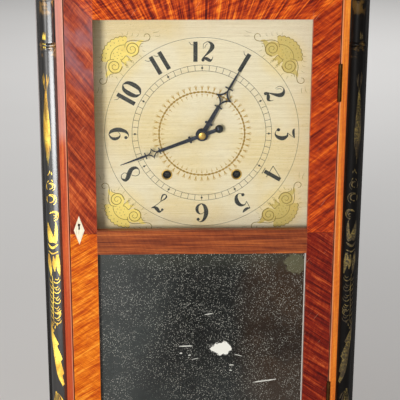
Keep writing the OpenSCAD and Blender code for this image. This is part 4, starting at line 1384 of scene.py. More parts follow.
@dataclass
class Dial:
    """The painted dial: numerals, minute track, gilt ring, corner scrolls and eyelets."""
    finishes: Finishes
    round_tree: RoundTree
    centre_z: float = HANDS_Z
    front_y: float = -28.0
    numeral_r: float = 107.6
    outer_line_r: float = 125.8
    track_r: tuple[float, float] = (83.0, 90.4)
    gilt_r: float = 55.4
    winding_at: Point = (45.5, -55.0)
    winding_hole_r: float = 6.1
    shell_centre: Point = (-99.0, 99.0)
    shell_r: float = 27.5
    scroll_centre: Point = (-89.0, 111.2)

    def surface(self, x: float, z: float, height: float) -> Vector:
        """A place on the dial, from its centre."""
        return Vector((x, self.front_y - height, z + self.centre_z)) * MM

    def build(self) -> None:
        """Paints the dial."""
        centre = Vector((0, self.front_y, self.centre_z)) * MM
        f, repeat = self.finishes, self.round_tree.repeat
        place(self.numerals().lay("numerals", self.surface), "dial_numerals", "case",
              f.ink)
        lines = Drawing().ring(self.outer_line_r, 0.5)
        for radius in self.track_r:
            lines.ring(radius, 0.55)
        low, high = self.track_r
        tick = Drawing().ribbon([(0, -(high - low) / 2, 0.6), (0, (high - low) / 2, 0.6)], 1)
        ticks = repeat("ticks", tick, 60, (low + high) / 2, centre, f.thin_ink)
        place(joined("track", [lines.lay("lines", self.surface), ticks]), "dial_minute_track",
              "case", f.thin_ink)
        dots = repeat("dots", Drawing().disc(0, 0, 1.35), 12, (low + high) / 2, centre, f.ink)
        place(dots, "dial_hour_dots", "case", f.ink)
        self.gilt_ring(centre)
        self.corners()
        self.eyelets()
        self.winding_squares()

    def gilt_ring(self, centre: Vector) -> None:
        """Paints the dashed ring with its sprigs and ticks.

        Args:
            centre: The dial's centre, in metres.
        """
        dash = Drawing().ribbon([(-1.7, 0, 1.9), (-0.6, 0.1, 2.9), (1.7, 0, 1.9)], 3)
        dash.disc(2.45, 0, 0.7, 8)
        sprig = Drawing()
        for side in (-1, 1):
            sprig.ribbon([(0, -3.0, 0.8), (side * 0.6, 0.4, 0.75), (side * 1.8, 3.2, 0.5)], 3)
        sprig.ribbon([(0, -1.6, 0.7), (0, 4.0, 0.45)], 2)
        inner = Drawing().ribbon([(0, 2.2, 0.7), (0, -2.2, 0.45)], 2)
        inner.ribbon([(-1, 1.8, 0.5), (0, 0.4, 0.6), (1, 1.8, 0.5)], 2)
        line = Drawing().ring(self.gilt_r, 0.7)
        marks = [("dashes", dash, 72, self.gilt_r), ("sprigs", sprig, 48, self.gilt_r + 5.2),
                 ("inner", inner, 48, self.gilt_r - 4.6)]
        meshes = [self.round_tree.repeat(name, mark, count, radius, centre, self.finishes.gilt_line)
                  for name, mark, count, radius in marks]
        meshes.append(line.lay("gilt_line", self.surface))
        place(joined("gilt", meshes), "dial_gilt_ring", "case",
              self.finishes.gilt_line)

    def digit(self, figure: str) -> Drawing:
        """Draws one figure about its own middle.

        Args:
            figure: "0" to "9".

        Returns:
            The drawing.
        """
        d = Drawing()
        for shape in FIGURES["6" if figure == "9" else figure]:
            if isinstance(shape, tuple):
                d.disc(*shape)
            else:
                d.ribbon(shape, 7 if len(shape) > 2 else 1)
        return Drawing().add(d, lambda x, y: (-x, -y)) if figure == "9" else d

    def numerals(self) -> Drawing:
        """Sets the twelve hours round the dial, their feet to its centre.

        Returns:
            The drawing.
        """
        hours = Drawing()
        spacing = {10: (-8.6, 6.2), 11: (-6.3, 6.3), 12: (-8.6, 6.2)}
        for hour in range(1, 13):
            for figure, offset in zip(str(hour), spacing.get(hour, (0.0,))):
                hours.add(self.digit(figure), self.turner(hour * 30, offset))
        return hours

    def turner(self, degrees: float, offset: float) -> Rule:
        """A rule that moves a figure to its place.

        Args:
            degrees: The hour's angle from the top.
            offset: How far right of the hour's line the figure stands.

        Returns:
            The rule.
        """
        c, s = math.cos(math.radians(degrees)), math.sin(math.radians(degrees))

        def move(x: float, z: float) -> Point:
            """Turns one point."""
            across, up = x + offset, z + self.numeral_r
            return across * c + up * s, up * c - across * s
        return move

    def scroll_ground(self) -> Drawing:
        """Draws the yellow ground of the upper left corner's upper scroll.

        Returns:
            The drawing.
        """
        ground = Drawing()
        ground.ribbon([(-88, 101.5, 4), (-84.5, 113, 6.5), (-79, 120.5, 4.6), (-74, 121.8, 0.8)], 6)
        ground.disc(*self.scroll_centre, 9.6, 32)
        ground.ribbon([(-97, 99.5, 5), (-94, 98, 4), (-89.5, 98, 1)], 5)
        return ground

    def scroll_lines(self) -> Drawing:
        """Draws the lines of the upper left corner's upper scroll.

        Returns:
            The drawing.
        """
        lines = Drawing()
        lines.ribbon([(*polar(self.scroll_centre, 1.4 + 0.6 * i, 250 - 50 * i), 0.5 + 0.05 * i)
                      for i in range(15)], 4)
        lines.ribbon([(-98, 113.2, 0.7), (-96.4, 119.5, 0.8), (-88.5, 122.4, 0.9),
                      (-80, 121.6, 0.8), (-74, 121, 0.9), (-68, 122.6, 0.9), (-66, 127, 0.8),
                      (-68.6, 130.6, 0.8), (-72.6, 129.6, 0.7), (-73.4, 126.6, 0.6)])
        lines.ribbon([(-79.6, 113, 0.6), (-78, 117.4, 0.7), (-74.4, 118.6, 0.5)])
        lines.ribbon([(-99.4, 99.6, 0.7), (-96.4, 102.6, 0.8), (-93.4, 100, 0.7), (-89.4, 94.6, 0.5)])
        for i in range(4):
            x = -94 + i * 1.9
            lines.ribbon([(x, 98.6 - i * 0.6, 0.5), (x + 1.4, 95.2 - i * 0.9, 0.35)], 2)
        for x, z in ((-80.6, 109.4), (-76.4, 114.6)):
            lines.disc(x, z, 0.55, 8)
        for start, end in (((-62, 132), (-54, 135)), ((-60, 128), (-53, 128.6)),
                           ((-96, 129), (-94.6, 133)), ((-90, 128), (-88, 132)),
                           ((-83, 127.4), (-80.6, 131.4)), ((-102, 128), (-101.4, 132.4)),
                           ((-76, 110), (-72, 108)), ((-80, 104), (-76.6, 100.4))):
            middle = ((start[0] + end[0]) / 2 + 0.8, (start[1] + end[1]) / 2 - 0.8)
            lines.ribbon([(*start, 0.3), (*middle, 0.4), (*end, 0.2)], 4)
        return lines

    def shell(self) -> tuple[Drawing, Drawing]:
        """Draws the scalloped shell in the upper left corner.

        Returns:
            Its yellow ground and its lines.
        """
        bumps, steps = 9, 6
        edge = [polar(self.shell_centre, self.shell_r + 1.6 * abs(math.sin(math.pi * i / steps)),
                      188 - 106 * i / (bumps * steps)) for i in range(bumps * steps + 1)]
        ground = Drawing().patch([*edge, (-96, 97), (-99, 94)])
        lines = Drawing().ribbon([(x, z, 0.75) for x, z in edge], 1)
        lines.ribbon([(*polar(self.shell_centre, 17.6, 186 - 102 * i / 14), 0.7)
                      for i in range(15)], 2)
        for i in range(7):
            lines.disc(*polar(self.shell_centre, 23.6, 178 - 14.2 * i), 0.6, 8)
        for row in range(4):
            for column in range(3):
                x = -13.4 + column * 4.6 + (row % 2) * 1.6
                z = -1.2 + row * 4.0 + (column % 2) * 1.3
                if math.hypot(x, z) < 15.6:
                    lines.disc(self.shell_centre[0] + x, self.shell_centre[1] + z, 0.55, 8)
        return ground, lines

    def corners(self) -> None:
        """Paints the four corners: a shell between two scrolls, mirrored from the upper left."""
        ground, lines = self.shell()
        for scroll, whole in ((self.scroll_ground(), ground), (self.scroll_lines(), lines)):
            whole.add(scroll, lambda x, z: (x, z))
            whole.add(scroll, lambda x, z: (-z, -x))
        all_ground, all_lines = Drawing(), Drawing()
        for sx, sz in ((1, 1), (1, -1), (-1, 1), (-1, -1)):
            for one, whole in ((ground, all_ground), (lines, all_lines)):
                whole.add(one, lambda x, z: (sx * x, sz * z))
        place(all_ground.lay("grounds", self.surface, 0.03), "dial_corner_grounds", "case",
              self.finishes.spandrel)
        place(all_lines.lay("corner_lines", self.surface, 0.04, 0.06), "dial_corner_lines", "case",
              self.finishes.olive)

    def beside(self, side: Side) -> Surface:
        """A rule for places on the dial beside one winding arbor's axis."""
        across, up = self.winding_at
        return lambda x, z, height: self.surface(side * across + x, up + z, height)

    def eyelets(self) -> None:
        """Lines the two winding holes with turned rims."""
        r = self.winding_hole_r
        profile = [(r - 0.9, -3), (r - 0.7, 0.5), (r + 0.1, 0.75), (r + 0.9, 0.4),
                   (r + 1.1, 0.02), (r - 0.1, 0.02), (r - 0.1, -3)]
        rims = [lathe("rim", profile, self.beside(side)(0, 0, 0)) for side in Side]
        place(joined("rims", rims), "winding_hole_rims", "case", self.finishes.brass)

    def winding_squares(self) -> None:
        """Shoes each winding arbor with an iron square and a round collar behind it, both near-black as
        painted shade in the winding holes.
        """
        half = 2.75
        square = Drawing().patch([(-half, -half), (half, -half), (half, half), (-half, half)])
        collar = Drawing().disc(0, 0, 5.9, 40)
        for train in Train:
            name, side = train.value
            shoe = joined("shoe", [square.lay("square", self.beside(side), 7.5, -10.2),
                                   collar.lay("collar", self.beside(side), 1.2, -11.4)])
            place(shoe, f"{name}_winding_square", f"{name}_drum", self.finishes.dark_iron)


@dataclass
class HandCollet:
    """The brass cap that holds the hands, on the minute hand's boss."""
    finishes: Finishes

    def build(self) -> None:
        """Turns the cap."""
        centre = Vector((0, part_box("minute_hand")[0].y, HANDS_Z * MM))
        cap = lathe("cap", [(0.01, 0.9), (1.6, 0.86), (3.2, 0.62), (4.5, 0.16), (4.7, 0.0),
                            (0.01, 0.0)], centre)
        pin = lathe("pin", [(0.01, 2.1), (0.6, 1.9), (0.8, 1.5), (0.8, 0.5), (0.01, 0.5)], centre)
        place(joined("collet", [cap, pin]), "hand_collet", "minute", self.finishes.brass)


# ---- Columns ----

@dataclass
class Gilding:
    """The stencilled leaf on one half column, in arc length and height on its shaft."""
    finishes: Finishes
    side: Side
    shaft_r: float = 9.8
    face_y: float = -58.0
    knot_x: float = -3.4

    def __post_init__(self) -> None:
        """Finds the column and its axis in the frame, and takes a clean sheet."""
        self.column = f"{self.side.name.lower()}_column"
        low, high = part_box(self.column)
        self.axis_x = (low.x + high.x) / 2 / MM
        self.drawn = Drawing()

    def surface(self, along: float, z: float, height: float) -> Vector:
        """A place on the shaft.

        Args:
            along: The arc length from its front line.
            z: The height over the floor.
            height: How far it stands off the paint.

        Returns:
            The place, in metres.
        """
        angle = -self.side * along / self.shaft_r
        r = self.shaft_r + height
        return Vector((self.axis_x + r * math.sin(angle), self.face_y - r * math.cos(angle), z)) * MM

    def leaf(self, foot: Point, tip: Point, width: float, bow: float = 0.0,
             swell: Point = (1.0, 0.8)) -> None:
        """Adds one pointed leaf.

        Args:
            foot, tip: Its ends.
            width: Its greatest width.
            bow: How far its middle stands off its chord.
            swell: Shares of the width, near the foot and near the tip.
        """
        (x0, z0), (x1, z1) = foot, tip
        size = math.hypot(x1 - x0, z1 - z0)
        nx, nz = -(z1 - z0) / size * bow, (x1 - x0) / size * bow
        low, high = swell
        self.drawn.ribbon([
            (x0, z0, width * 0.25),
            (x0 + (x1 - x0) * 0.3 + nx, z0 + (z1 - z0) * 0.3 + nz, width * low),
            (x0 + (x1 - x0) * 0.65 + nx * 0.8, z0 + (z1 - z0) * 0.65 + nz * 0.8, width * high),
            (x1, z1, 0.1)], 7, 3)

    def curl(self, x: float, z: float, radius: float, width: float, start: float,
             sweep: float) -> None:
        """Adds one comma-shaped curl.

        Args:
            x, z: Its centre.
            radius: Its radius.
            width: Its greatest width.
            start: The angle at which it starts, in degrees.
            sweep: How far it turns, in degrees.
        """
        knots = [(*polar((x, z), radius, start + sweep * i / 6),
                  width * (0.25 + 0.75 * math.sin(math.pi * (i + 0.6) / 7.2))) for i in range(7)]
        self.drawn.ribbon(knots, 3, 2)
        self.drawn.disc(*knots[-1][:2], width * 0.55, 10)

    def fan(self, z: float, length: float, tips: Iterable[float], width: float) -> None:
        """Adds a fan of ribs that spring from one knot.

        Args:
            z: The knot's height.
            length: The middle rib's length; below 0 it points down.
            tips: Where along the arc the ribs end.
            width: A rib's greatest width.
        """
        way = math.copysign(1, length)
        self.drawn.disc(self.knot_x, z, 1.3, 12)
        for tip in tips:
            off = tip + 4
            reach = length * (1 - abs(off) / 18)
            self.leaf((self.knot_x + off * 0.2, z + way * 1.5), (tip, z + reach), width,
                      off * -0.12 * way, (0.3, 1.0))

    def stencil(self) -> Drawing:
        """Draws the whole shaft's stencil, from the upper beads down.

        Returns:
            The drawing.
        """
        for motif in (self.tufts, self.upper_fans, self.rosette, self.scrolls, self.vase,
                      self.stem, self.serrated_leaf, self.lower_fans):
            motif()
        return self.drawn

    def tufts(self) -> None:
        """Adds the short leaves above and below the upper beads."""
        for i in range(4):
            x, tip_x = -5.4 + i * 1.2, -4.8 + i * 1.0
            self.leaf((x, 668), (tip_x, 675 + (i % 2) * 3), 0.9)
            self.leaf((x, 664), (tip_x, 658 - (i % 2) * 2), 0.8)

    def upper_fans(self) -> None:
        """Adds the short fan and the long one that spring from the upper knot."""
        self.fan(603, 26, (-7.5, -5.6, -1.6, 0.4), 1.1)
        self.fan(603, -98, (-9.6, -7.6, -5.6, -3.6, -1.8, 0), 2.0)

    def rosette(self) -> None:
        """Adds the five small leaves below the long fan."""
        for x, z, turn in ((-5, 494, 60), (-2.4, 497, 80), (0.6, 495, 100), (-3.6, 488, 240),
                           (-0.2, 489, 300)):
            self.leaf((x, z), polar((x, z), 4.4, turn), 1.2)

    def scrolls(self) -> None:
        """Adds the curls between the rosette and the vase."""
        for z, size in ((480, 1.0), (463, 1.3)):
            self.curl(-2.4, z, 3.6 * size, 1.3 * size, 120, -210)
            self.curl(-1.6, z - 1, 5.6 * size, 0.9 * size, 110, -170)
            self.leaf((-6.2, z - 5), (-6.8, z + 4), 1.3, 0.8)
        self.curl(1.4, 440, 6.2, 2.1, 150, -230)
        self.curl(1.2, 441, 4.0, 1.4, 130, -210)
        self.curl(1.6, 439, 2.0, 1.1, 120, -180)

    def vase(self) -> None:
        """Adds the vase: two lobes over a waist, and three leaves that hang below it."""
        stroke = self.drawn.ribbon
        stroke([(-7.4, 431, 0.5), (-6.4, 424, 4), (-4.6, 414, 7.6), (-2.6, 407, 9), (-2, 404, 7)], 8, 5)
        stroke([(3.4, 432, 0.5), (4, 424, 3), (3.2, 414, 4.6), (1.4, 406, 6.4), (0.4, 403.6, 5)], 8, 4)
        stroke([(-8, 401.5, 1.4), (-2, 396.5, 3.4), (5.5, 401, 1.4)], 7, 2)
        stroke([(-7.5, 392, 1.2), (-2, 388.6, 2), (5.5, 391, 1.2)], 7, 2)
        stroke([(-7.6, 388, 2), (-6.8, 376, 5.6), (-5.4, 366, 4), (-5, 357, 0.6)], 8, 4)
        stroke([(4.2, 387, 3), (4.4, 377, 6.4), (5.8, 366, 4.4), (7.2, 357, 0.6)], 8, 4)
        stroke([(-0.8, 385, 1), (-0.4, 374, 4.4), (0.4, 364, 0.8)], 7, 3)

    def stem(self) -> None:
        """Adds the stem with its leaves on one side, curls on the other and buds at its foot."""
        self.drawn.ribbon([(-3.4, 358, 0.5), (-2.6, 334, 1.1), (-3.8, 310, 1), (-3, 290, 0.5)], 8)
        for i in range(9):
            z = 353 - i * 7.2
            self.leaf((-3.2, z - 6), (-7.8, z + 1), 1.0, 0.8)
            if i % 2 == 0:
                self.curl(2.4, z - 1, 4.4, 1.3, 200, 150)
                self.curl(2.8, z + 1.6, 2.4, 1.0, 200, 150)
            else:
                self.curl(0.8, z - 2, 3.0, 1.0, 210, 130)
        self.curl(3.0, 303, 3.6, 1.4, 160, -230)
        self.curl(2.8, 303, 1.7, 1, 160, -200)
        for x, z in ((-5.4, 286), (-2.2, 283), (0.8, 287)):
            self.leaf((x, z), (x + 0.8, z + 5), 1.5)

    def lower_fans(self) -> None:
        """Adds the fans below the long leaf."""
        self.fan(190, -36, (-9, -6, -3, 0, 3, 6), 1.7)
        for length in (44, -44):
            self.fan(128, length, (-8, -5, -2, 1, 4), 2.4)

    def serrated_leaf(self) -> None:
        """Adds the long leaf with a stepped right edge, low on the shaft."""
        edge = through([(292, -7.9, -7.4), (274, -7.8, -1.6), (245, -4.6, 5.0), (216, -0.7, 7.8),
                        (198, 6.2, 8.2)], 12)
        rows = []
        for i, (z, left, right) in enumerate(edge):
            tooth = (i % 9) / 9 - 0.6
            rows.append((left, max(right + 3.4 * tooth * min(1, i / 9), left + 0.3), z))
        d, lanes = self.drawn, 6
        start, row = len(d.points), lanes + 1
        for left, right, z in rows:
            d.points += [(left + (right - left) * j / lanes, z - 2.2 * j / lanes) for j in range(row)]
        d.faces += [(start + i * row + j, start + (i + 1) * row + j, start + (i + 1) * row + j + 1,
                     start + i * row + j + 1) for i in range(len(rows) - 1) for j in range(lanes)]
        d.stack()

    def build(self) -> bpy.types.Object:
        """Lays the stencil on the shaft.

        Returns:
            The gilding.
        """
        mesh = self.stencil().lay("stencil", self.surface, 0.04, 0.03)
        return place(mesh, f"{self.column}_gilding", "case",
                     self.finishes.gold[self.side])


# ---- Cords ----

@dataclass
class Cords:
    """The two weight cords: from drum to pulley, over it, and down to the weight's eye."""
    finishes: Finishes
    cord_r: float = 0.8
    drum_r: float = 18.0
    drum_gap: float = 0.3
    strands: int = 3
    lay_length: float = 7.0
    step: float = 1.4
    lowest_share: float = 0.173

    def strand_tubes(self, name: str, line: list[Vector]) -> bpy.types.Mesh:
        """Twists strands along a line.

        Args:
            name: The mesh's name.
            line: Points a fraction of a millimetre to a few millimetres apart, in millimetres.

        Returns:
            The twisted cord.
        """
        places, faces = [], []
        sides, strand_r = 6, self.cord_r * 0.52
        offset = self.cord_r - strand_r
        across = FRONT
        travelled = [0.0]
        for a, b in zip(line, line[1:]):
            travelled.append(travelled[-1] + (b - a).length)
        for strand in range(self.strands):
            first = len(places)
            for i, point in enumerate(line):
                ahead = (line[min(i + 1, len(line) - 1)] - line[max(i - 1, 0)]).normalized()
                side = ahead.cross(across).normalized()
                turn = math.tau * (travelled[i] / self.lay_length + strand / self.strands)
                middle = point + (side * math.cos(turn) + across * math.sin(turn)) * offset
                places += [(middle + (side * math.cos(a) + across * math.sin(a)) * strand_r) * MM
                           for a in (math.tau * k / sides for k in range(sides))]
            for i in range(len(line) - 1):
                here, there = first + i * sides, first + (i + 1) * sides
                faces += [(here + k, here + (k + 1) % sides, there + (k + 1) % sides, there + k)
                          for k in range(sides)]
            faces += [tuple(first + k for k in range(sides)),
                      tuple(len(places) - 1 - k for k in range(sides))]
        mesh = bpy.data.meshes.new(name)
        mesh.from_pydata(places, [], faces)
        return tidy(mesh, True)

    def build(self) -> None:
        """Lays both cords and ties them to their weights."""
        runs = []
        for member in Train:
            runs.append(self.upper_run(*member.value))
            self.drop(member.value[0])
        place(joined("runs", runs), "cord_upper_runs", "case", self.finishes.cord,
              ["cord_runs"])

    def upper_run(self, train: str, side: Side) -> bpy.types.Mesh:
        """Twists a cord from its drum up to the pulley and over it.

        Args:
            train: The train's name.
            side: The side that it stands on.

        Returns:
            The twisted cord.
        """
        pulley, drum = middle_of(f"{train}_pulley"), middle_of(f"{train}_drum")
        drop_low, drop_high = (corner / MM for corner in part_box(f"{train}_cord_drop"))
        groove = abs((drop_low.x + drop_high.x) / 2 - pulley.x)
        line_r = self.drum_r + self.cord_r + self.drum_gap
        dx, dz = side * (pulley.x - drum.x), pulley.z - drum.z
        bearing = math.atan2(dz, dx) + math.asin((line_r + groove) / math.hypot(dx, dz))
        nx, nz = math.sin(bearing), -math.cos(bearing)
        leave = Vector((side * (side * drum.x + line_r * nx), pulley.y, drum.z + line_r * nz))
        meet = Vector((side * (side * pulley.x - groove * nx), pulley.y, pulley.z - groove * nz))
        steps, turns = int((meet - leave).length / self.step), 30
        line = [leave.lerp(meet, i / steps) for i in range(steps)]
        for i in range(turns + 1):
            a = (bearing + math.pi / 2) * (1 - i / turns)
            line.append(Vector((side * (side * pulley.x + groove * math.cos(a)), pulley.y,
                                pulley.z + groove * math.sin(a))))
        return self.strand_tubes("run", line)

    def drop(self, train: str) -> None:
        """Hangs a cord from its pulley to its weight.

        Args:
            train: The train's name.
        """
        drop_low, drop_high = (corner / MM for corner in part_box(f"{train}_cord_drop"))
        drop_x, y = (drop_low.x + drop_high.x) / 2, middle_of(f"{train}_pulley").y
        count = int((drop_high.z - drop_low.z) / self.step)
        line = [Vector((drop_x, y, drop_high.z + (drop_low.z - drop_high.z) * i / count))
                for i in range(count + 1)]
        piece = place(self.strand_tubes("drop", line), f"{train}_drop_cord", "case",
                      self.finishes.cord, [f"{train}_cord_drop"])
        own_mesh(piece)
        self.knot(train, Vector((drop_x, y, drop_low.z)))

    def knot(self, train: str, top: Vector) -> None:
        """Ties the cord's end through the weight's eye.

        Args:
            train: The name of the train that the weight drives.
            top: The top of the eye, in millimetres.
        """
        loop = [top + Vector((0, 3.6 * math.sin(a), -3.4 + 3.4 * math.cos(a)))
                for a in (math.tau * i / 40 for i in range(41))]
        wraps = [top + Vector((1.3 * math.cos(a), 1.3 * math.sin(a), -0.4 - 0.28 * a))
                 for a in (math.tau * i / 14 for i in range(33))]
        mesh = joined("knot", [self.strand_tubes("loop", loop), self.strand_tubes("wraps", wraps)])
        place(mesh, f"{train}_weight_knot", f"{train}_weight", self.finishes.cord)


# ---- Small fittings ----

@dataclass
class Fittings:
    """Screws, nails, pegs and putty."""
    finishes: Finishes
    places_tree: PlacesTree
    putty_deep: float = 3.2

    def build(self) -> None:
        """Sets all the small fittings."""
        self.back_nails()
        self.lock_screws()
        self.plate_pegs()
        self.dial_pins()
        self.putty()

    def screw(self, radius: float) -> bpy.types.Mesh:
        """Makes a round screw head with a slot, facing up.

        Args:
            radius: The head's radius, in millimetres.

        Returns:
            The head.
        """
        halves, cut = [], 0.16
        for side in (-1, 1):
            angles = [cut + (math.pi - 2 * cut) * i / 12 for i in range(13)]
            outline = [(radius * math.cos(a), side * radius * math.sin(a)) for a in angles]
            half = Drawing().patch(outline if side > 0 else outline[::-1])
            halves.append(half.lay("half", level, 0.7, -0.3))
        base = Drawing().disc(0, 0, radius * 0.97, 24).lay("base", level, 0.4, -0.35)
        return joined("screw", [*halves, base])

    def nail(self, radius: float) -> bpy.types.Mesh:
        """Makes a cut nail's square head, facing up.

        Args:
            radius: Half its width with the corners, in millimetres.

        Returns:
            The head.
        """
        half = radius * 0.9
        head = Drawing().patch([(-half, -half), (half, -half * 0.9), (half * 0.95, half), (-half, half)])
        return head.lay("nail", level, 0.4, -0.385)

    def back_nails(self) -> None:
        """Nails the back board on: ten down each side and four at each end."""
        low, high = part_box("back_board")
        inset, iron = 0.007, self.finishes.iron
        nails = [(Vector((x, high.y, z)), BACK)
                 for x in (low.x + inset, high.x - inset)
                 for z in (low.z + 0.03 + i * (high.z - low.z - 0.06) / 9 for i in range(10))]
        nails += [(Vector((x, high.y, z)), BACK) for z in (low.z + inset, high.z - inset)
                  for x in (-0.12, -0.04, 0.04, 0.12)]
        place(self.places_tree.set_on("nails", self.nail(1.7), nails, iron, 0.5), "back_nails",
              "case", iron)

    def lock_screws(self) -> None:
        """Screws the lock case to the door by its four corners."""
        low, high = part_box("lock_case")
        inset, steel = 0.0045, self.finishes.steel
        corners = [(Vector((x, high.y, z)), BACK)
                   for x in (low.x + inset, high.x - inset)
                   for z in (low.z + inset, high.z - inset)]
        place(self.places_tree.set_on("lock_screws", self.screw(2.2), corners, steel), "lock_screws",
              "door", steel)

    def plate_pegs(self) -> None:
        """Pegs the front plate to its pillars."""
        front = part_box("front_plate")[0].y
        ends = [(Vector((x, front, HANDS_Z * MM + z)), FRONT)
                for x, z in ((-0.107, -0.092), (0.107, -0.092), (-0.08, 0.11), (0.08, 0.11))]
        peg = lathe("peg", [(0.01, 1.6), (1.8, 1.5), (2.3, 1.0), (2.4, -0.3), (0.01, -0.3)],
                    Vector((0, 0, 0)), UP, 16)
        cherry = self.finishes.woods["turned_cherry"]
        place(self.places_tree.set_on("pegs", peg, ends, cherry), "plate_pegs", "case",
              cherry)

    def dial_pins(self) -> None:
        """Pins the dial board by its corners."""
        low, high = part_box("dial_board")
        iron = self.finishes.iron
        corners = [(Vector((x, low.y, z)), FRONT)
                   for x in (low.x + 0.004, high.x - 0.004)
                   for z in (low.z + 0.012, high.z - 0.007)]
        place(self.places_tree.set_on("dial_pins", self.nail(1.2), corners, iron, 0.4), "dial_pins",
              "case", iron)

    def putty(self) -> None:
        """Beds the two panes behind with a fillet of putty in the door's rebates."""
        meshes = []
        for node in ("dial_glass", "looking_glass_back"):
            low, high = (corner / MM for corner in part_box(node))
            edge = high.y
            for end, inward in ((low.z, 1), (high.z, -1)):
                meshes.append(self.fillet(Vector((low.x, edge, end)), Vector((high.x, edge, end)),
                                          Vector((0, 0, inward))))
            for end, inward in ((low.x, 1), (high.x, -1)):
                meshes.append(self.fillet(Vector((end, edge, low.z)), Vector((end, edge, high.z)),
                                          Vector((inward, 0, 0))))
        place(joined("putty", meshes), "door_putty", "door", self.finishes.woods["old_pine"])

    def fillet(self, start: Vector, end: Vector, inward: Vector) -> bpy.types.Mesh:
        """Makes one run of putty, three-cornered in section.

        Args:
            start, end: Its ends along the rebate's corner, in millimetres.
            inward: The way to the opening's middle.

        Returns:
            The run.
        """
        deep = self.putty_deep
        section = [Vector((0, 0, 0)), inward * deep, inward * deep * 0.3 + BACK * deep * 0.55,
                   BACK * deep]
        steps, places, faces = 24, [], []
        for i in range(steps + 1):
            at = start.lerp(end, i / steps)
            wave = 1 + 0.12 * math.sin(i * 2.3) + 0.06 * math.sin(i * 5.1)
            places += [(at + corner * (wave if k in (1, 2) else 1)) * MM
                       for k, corner in enumerate(section)]
        for i in range(steps):
            faces += [(i * 4 + k, i * 4 + (k + 1) % 4, i * 4 + 4 + (k + 1) % 4, i * 4 + 4 + k)
                      for k in range(4)]
        faces += [(0, 1, 2, 3), (steps * 4 + 3, steps * 4 + 2, steps * 4 + 1, steps * 4)]
        mesh = bpy.data.meshes.new("fillet")
        mesh.from_pydata(places, [], faces)
        return tidy(mesh)


# ---- The studio ----

@dataclass(frozen=True)
class Lamp:
    """A soft light: where it hangs, what it faces, its side, watts, tint, and height if not square."""
    name: str
    at: tuple[float, float, float]
    aim: tuple[float, float, float]
    side: float
    watts: float
    tint: Colour = (1.0, 1.0, 1.0)
    height: float = 0.0

    def hang(self, *only: bpy.types.Object) -> None:
        """Hangs the light.

        Args:
            only: The pieces that it lights, or none for all of them.
        """
        data = bpy.data.lights.new(self.name, "AREA")
        data.shape = "RECTANGLE"
        data.size, data.size_y = self.side, self.height or self.side
        data.energy, data.color = self.watts, self.tint
        lamp = bpy.data.objects.new(self.name, data)
        lamp.location = self.at
        way = Vector(self.aim) - Vector(self.at)
        lamp.rotation_euler = way.to_track_quat("-Z", "Y").to_euler()
        lamp.visible_camera = False
        bpy.context.scene.collection.objects.link(lamp)
        if only:
            lit = bpy.data.collections.new(self.name + "_lights")
            for piece in only:
                lit.objects.link(piece)
            lamp.light_linking.receiver_collection = lit


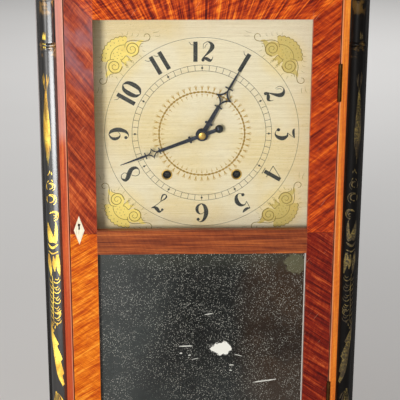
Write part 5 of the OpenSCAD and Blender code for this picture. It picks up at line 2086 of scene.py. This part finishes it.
@dataclass
class Studio:
    """The camera at the photograph's angle, a pale floor and soft light."""
    camera_at: tuple[float, float, float] = (-0.0503, -1.6112, 0.9599)
    pitch: float = 17.92
    yaw: float = -1.74
    roll: float = 0.19
    focal_px: float = 1264.8
    frame_px: float = 400.0
    floor_half: float = 9.0

    def camera(self) -> None:
        """Sets the camera."""
        data = bpy.data.cameras.new("camera")
        data.sensor_width = 36.0
        data.lens = self.focal_px / self.frame_px * data.sensor_width
        pitch, yaw, roll = (math.radians(a) for a in (self.pitch, self.yaw, self.roll))
        ahead = Vector((-math.sin(yaw) * math.cos(pitch), math.cos(yaw) * math.cos(pitch),
                        -math.sin(pitch)))
        right = Vector((math.cos(yaw), math.sin(yaw), 0))
        up = right.cross(ahead)
        right, up = (right * math.cos(roll) + up * math.sin(roll),
                     up * math.cos(roll) - right * math.sin(roll))
        camera = bpy.data.objects.new("camera", data)
        turn = Matrix((right, up, -ahead)).transposed().to_4x4()
        camera.matrix_world = Matrix.Translation(self.camera_at) @ turn
        bpy.context.scene.collection.objects.link(camera)
        bpy.context.scene.camera = camera

    def floor(self) -> None:
        """Lays the floor."""
        h = self.floor_half
        mesh = bpy.data.meshes.new("floor")
        mesh.from_pydata([(-h, -h, 0), (h, -h, 0), (h, h, 0), (-h, h, 0)], [], [(0, 1, 2, 3)])
        r = Recipe("studio_floor")
        cloud = r.noise(r.where, 2.0, detail=2)
        mesh.materials.append(r.dress(r.blend(cloud, (0.8, 0.79, 0.78), (0.84, 0.83, 0.82)), 0.85))
        floor = bpy.data.objects.new("studio_floor", mesh)
        bpy.context.scene.collection.objects.link(floor)

    def lights(self) -> None:
        """Hangs the lights and sets the sky."""
        for lamp in (
                Lamp("key", (-1.15, -2.6, 0.95), (0, 0, 0.5), 0.7, 62, tint=(1.0, 0.98, 0.95)),
                Lamp("fill", (1.9, -2.0, 2.2), (0, 0, 0.45), 1.6, 8),
                Lamp("back", (0.6, 3.4, 2.8), (0, 1.6, 0), 2.0, 60)):
            lamp.hang()
        world = bpy.data.worlds.new("sky")
        world.use_nodes = True
        sky = world.node_tree.nodes["Background"]
        sky.inputs["Color"].default_value = (1.0, 0.985, 0.96, 1)
        sky.inputs["Strength"].default_value = 0.24
        bpy.context.scene.world = world
        bpy.context.scene.view_settings.view_transform = "Standard"

    def build(self) -> None:
        """Sets up the studio."""
        self.camera()
        self.floor()
        self.lights()

    def glare(self, *pieces: bpy.types.Object) -> None:
        """Hangs a card low at the right, which lights the left column alone.

        Args:
            pieces: The column and its gilding.
        """
        Lamp("glare_card", (0.42, -0.584, 0.39), (-0.1925, -0.07, 0.58), 1.0, 17,
             height=0.33).hang(*pieces)


def main() -> None:
    """Builds the studio and dresses the clock, piece by piece."""
    logging.basicConfig(level=logging.INFO, format="%(name)s: %(message)s")
    studio = Studio()
    studio.build()
    finishes = Finishes()
    finishes.dress_nodes()
    round_tree, places_tree = RoundTree(), PlacesTree()
    Cords(finishes).build()
    Dial(finishes, round_tree).build()
    HandCollet(finishes).build()
    left_gilding = Gilding(finishes, Side.LEFT).build()
    Gilding(finishes, Side.RIGHT).build()
    studio.glare(frame["nodes"]["left_column"], left_gilding)
    Fittings(finishes, places_tree).build()


if __name__ == "__main__":
    main()
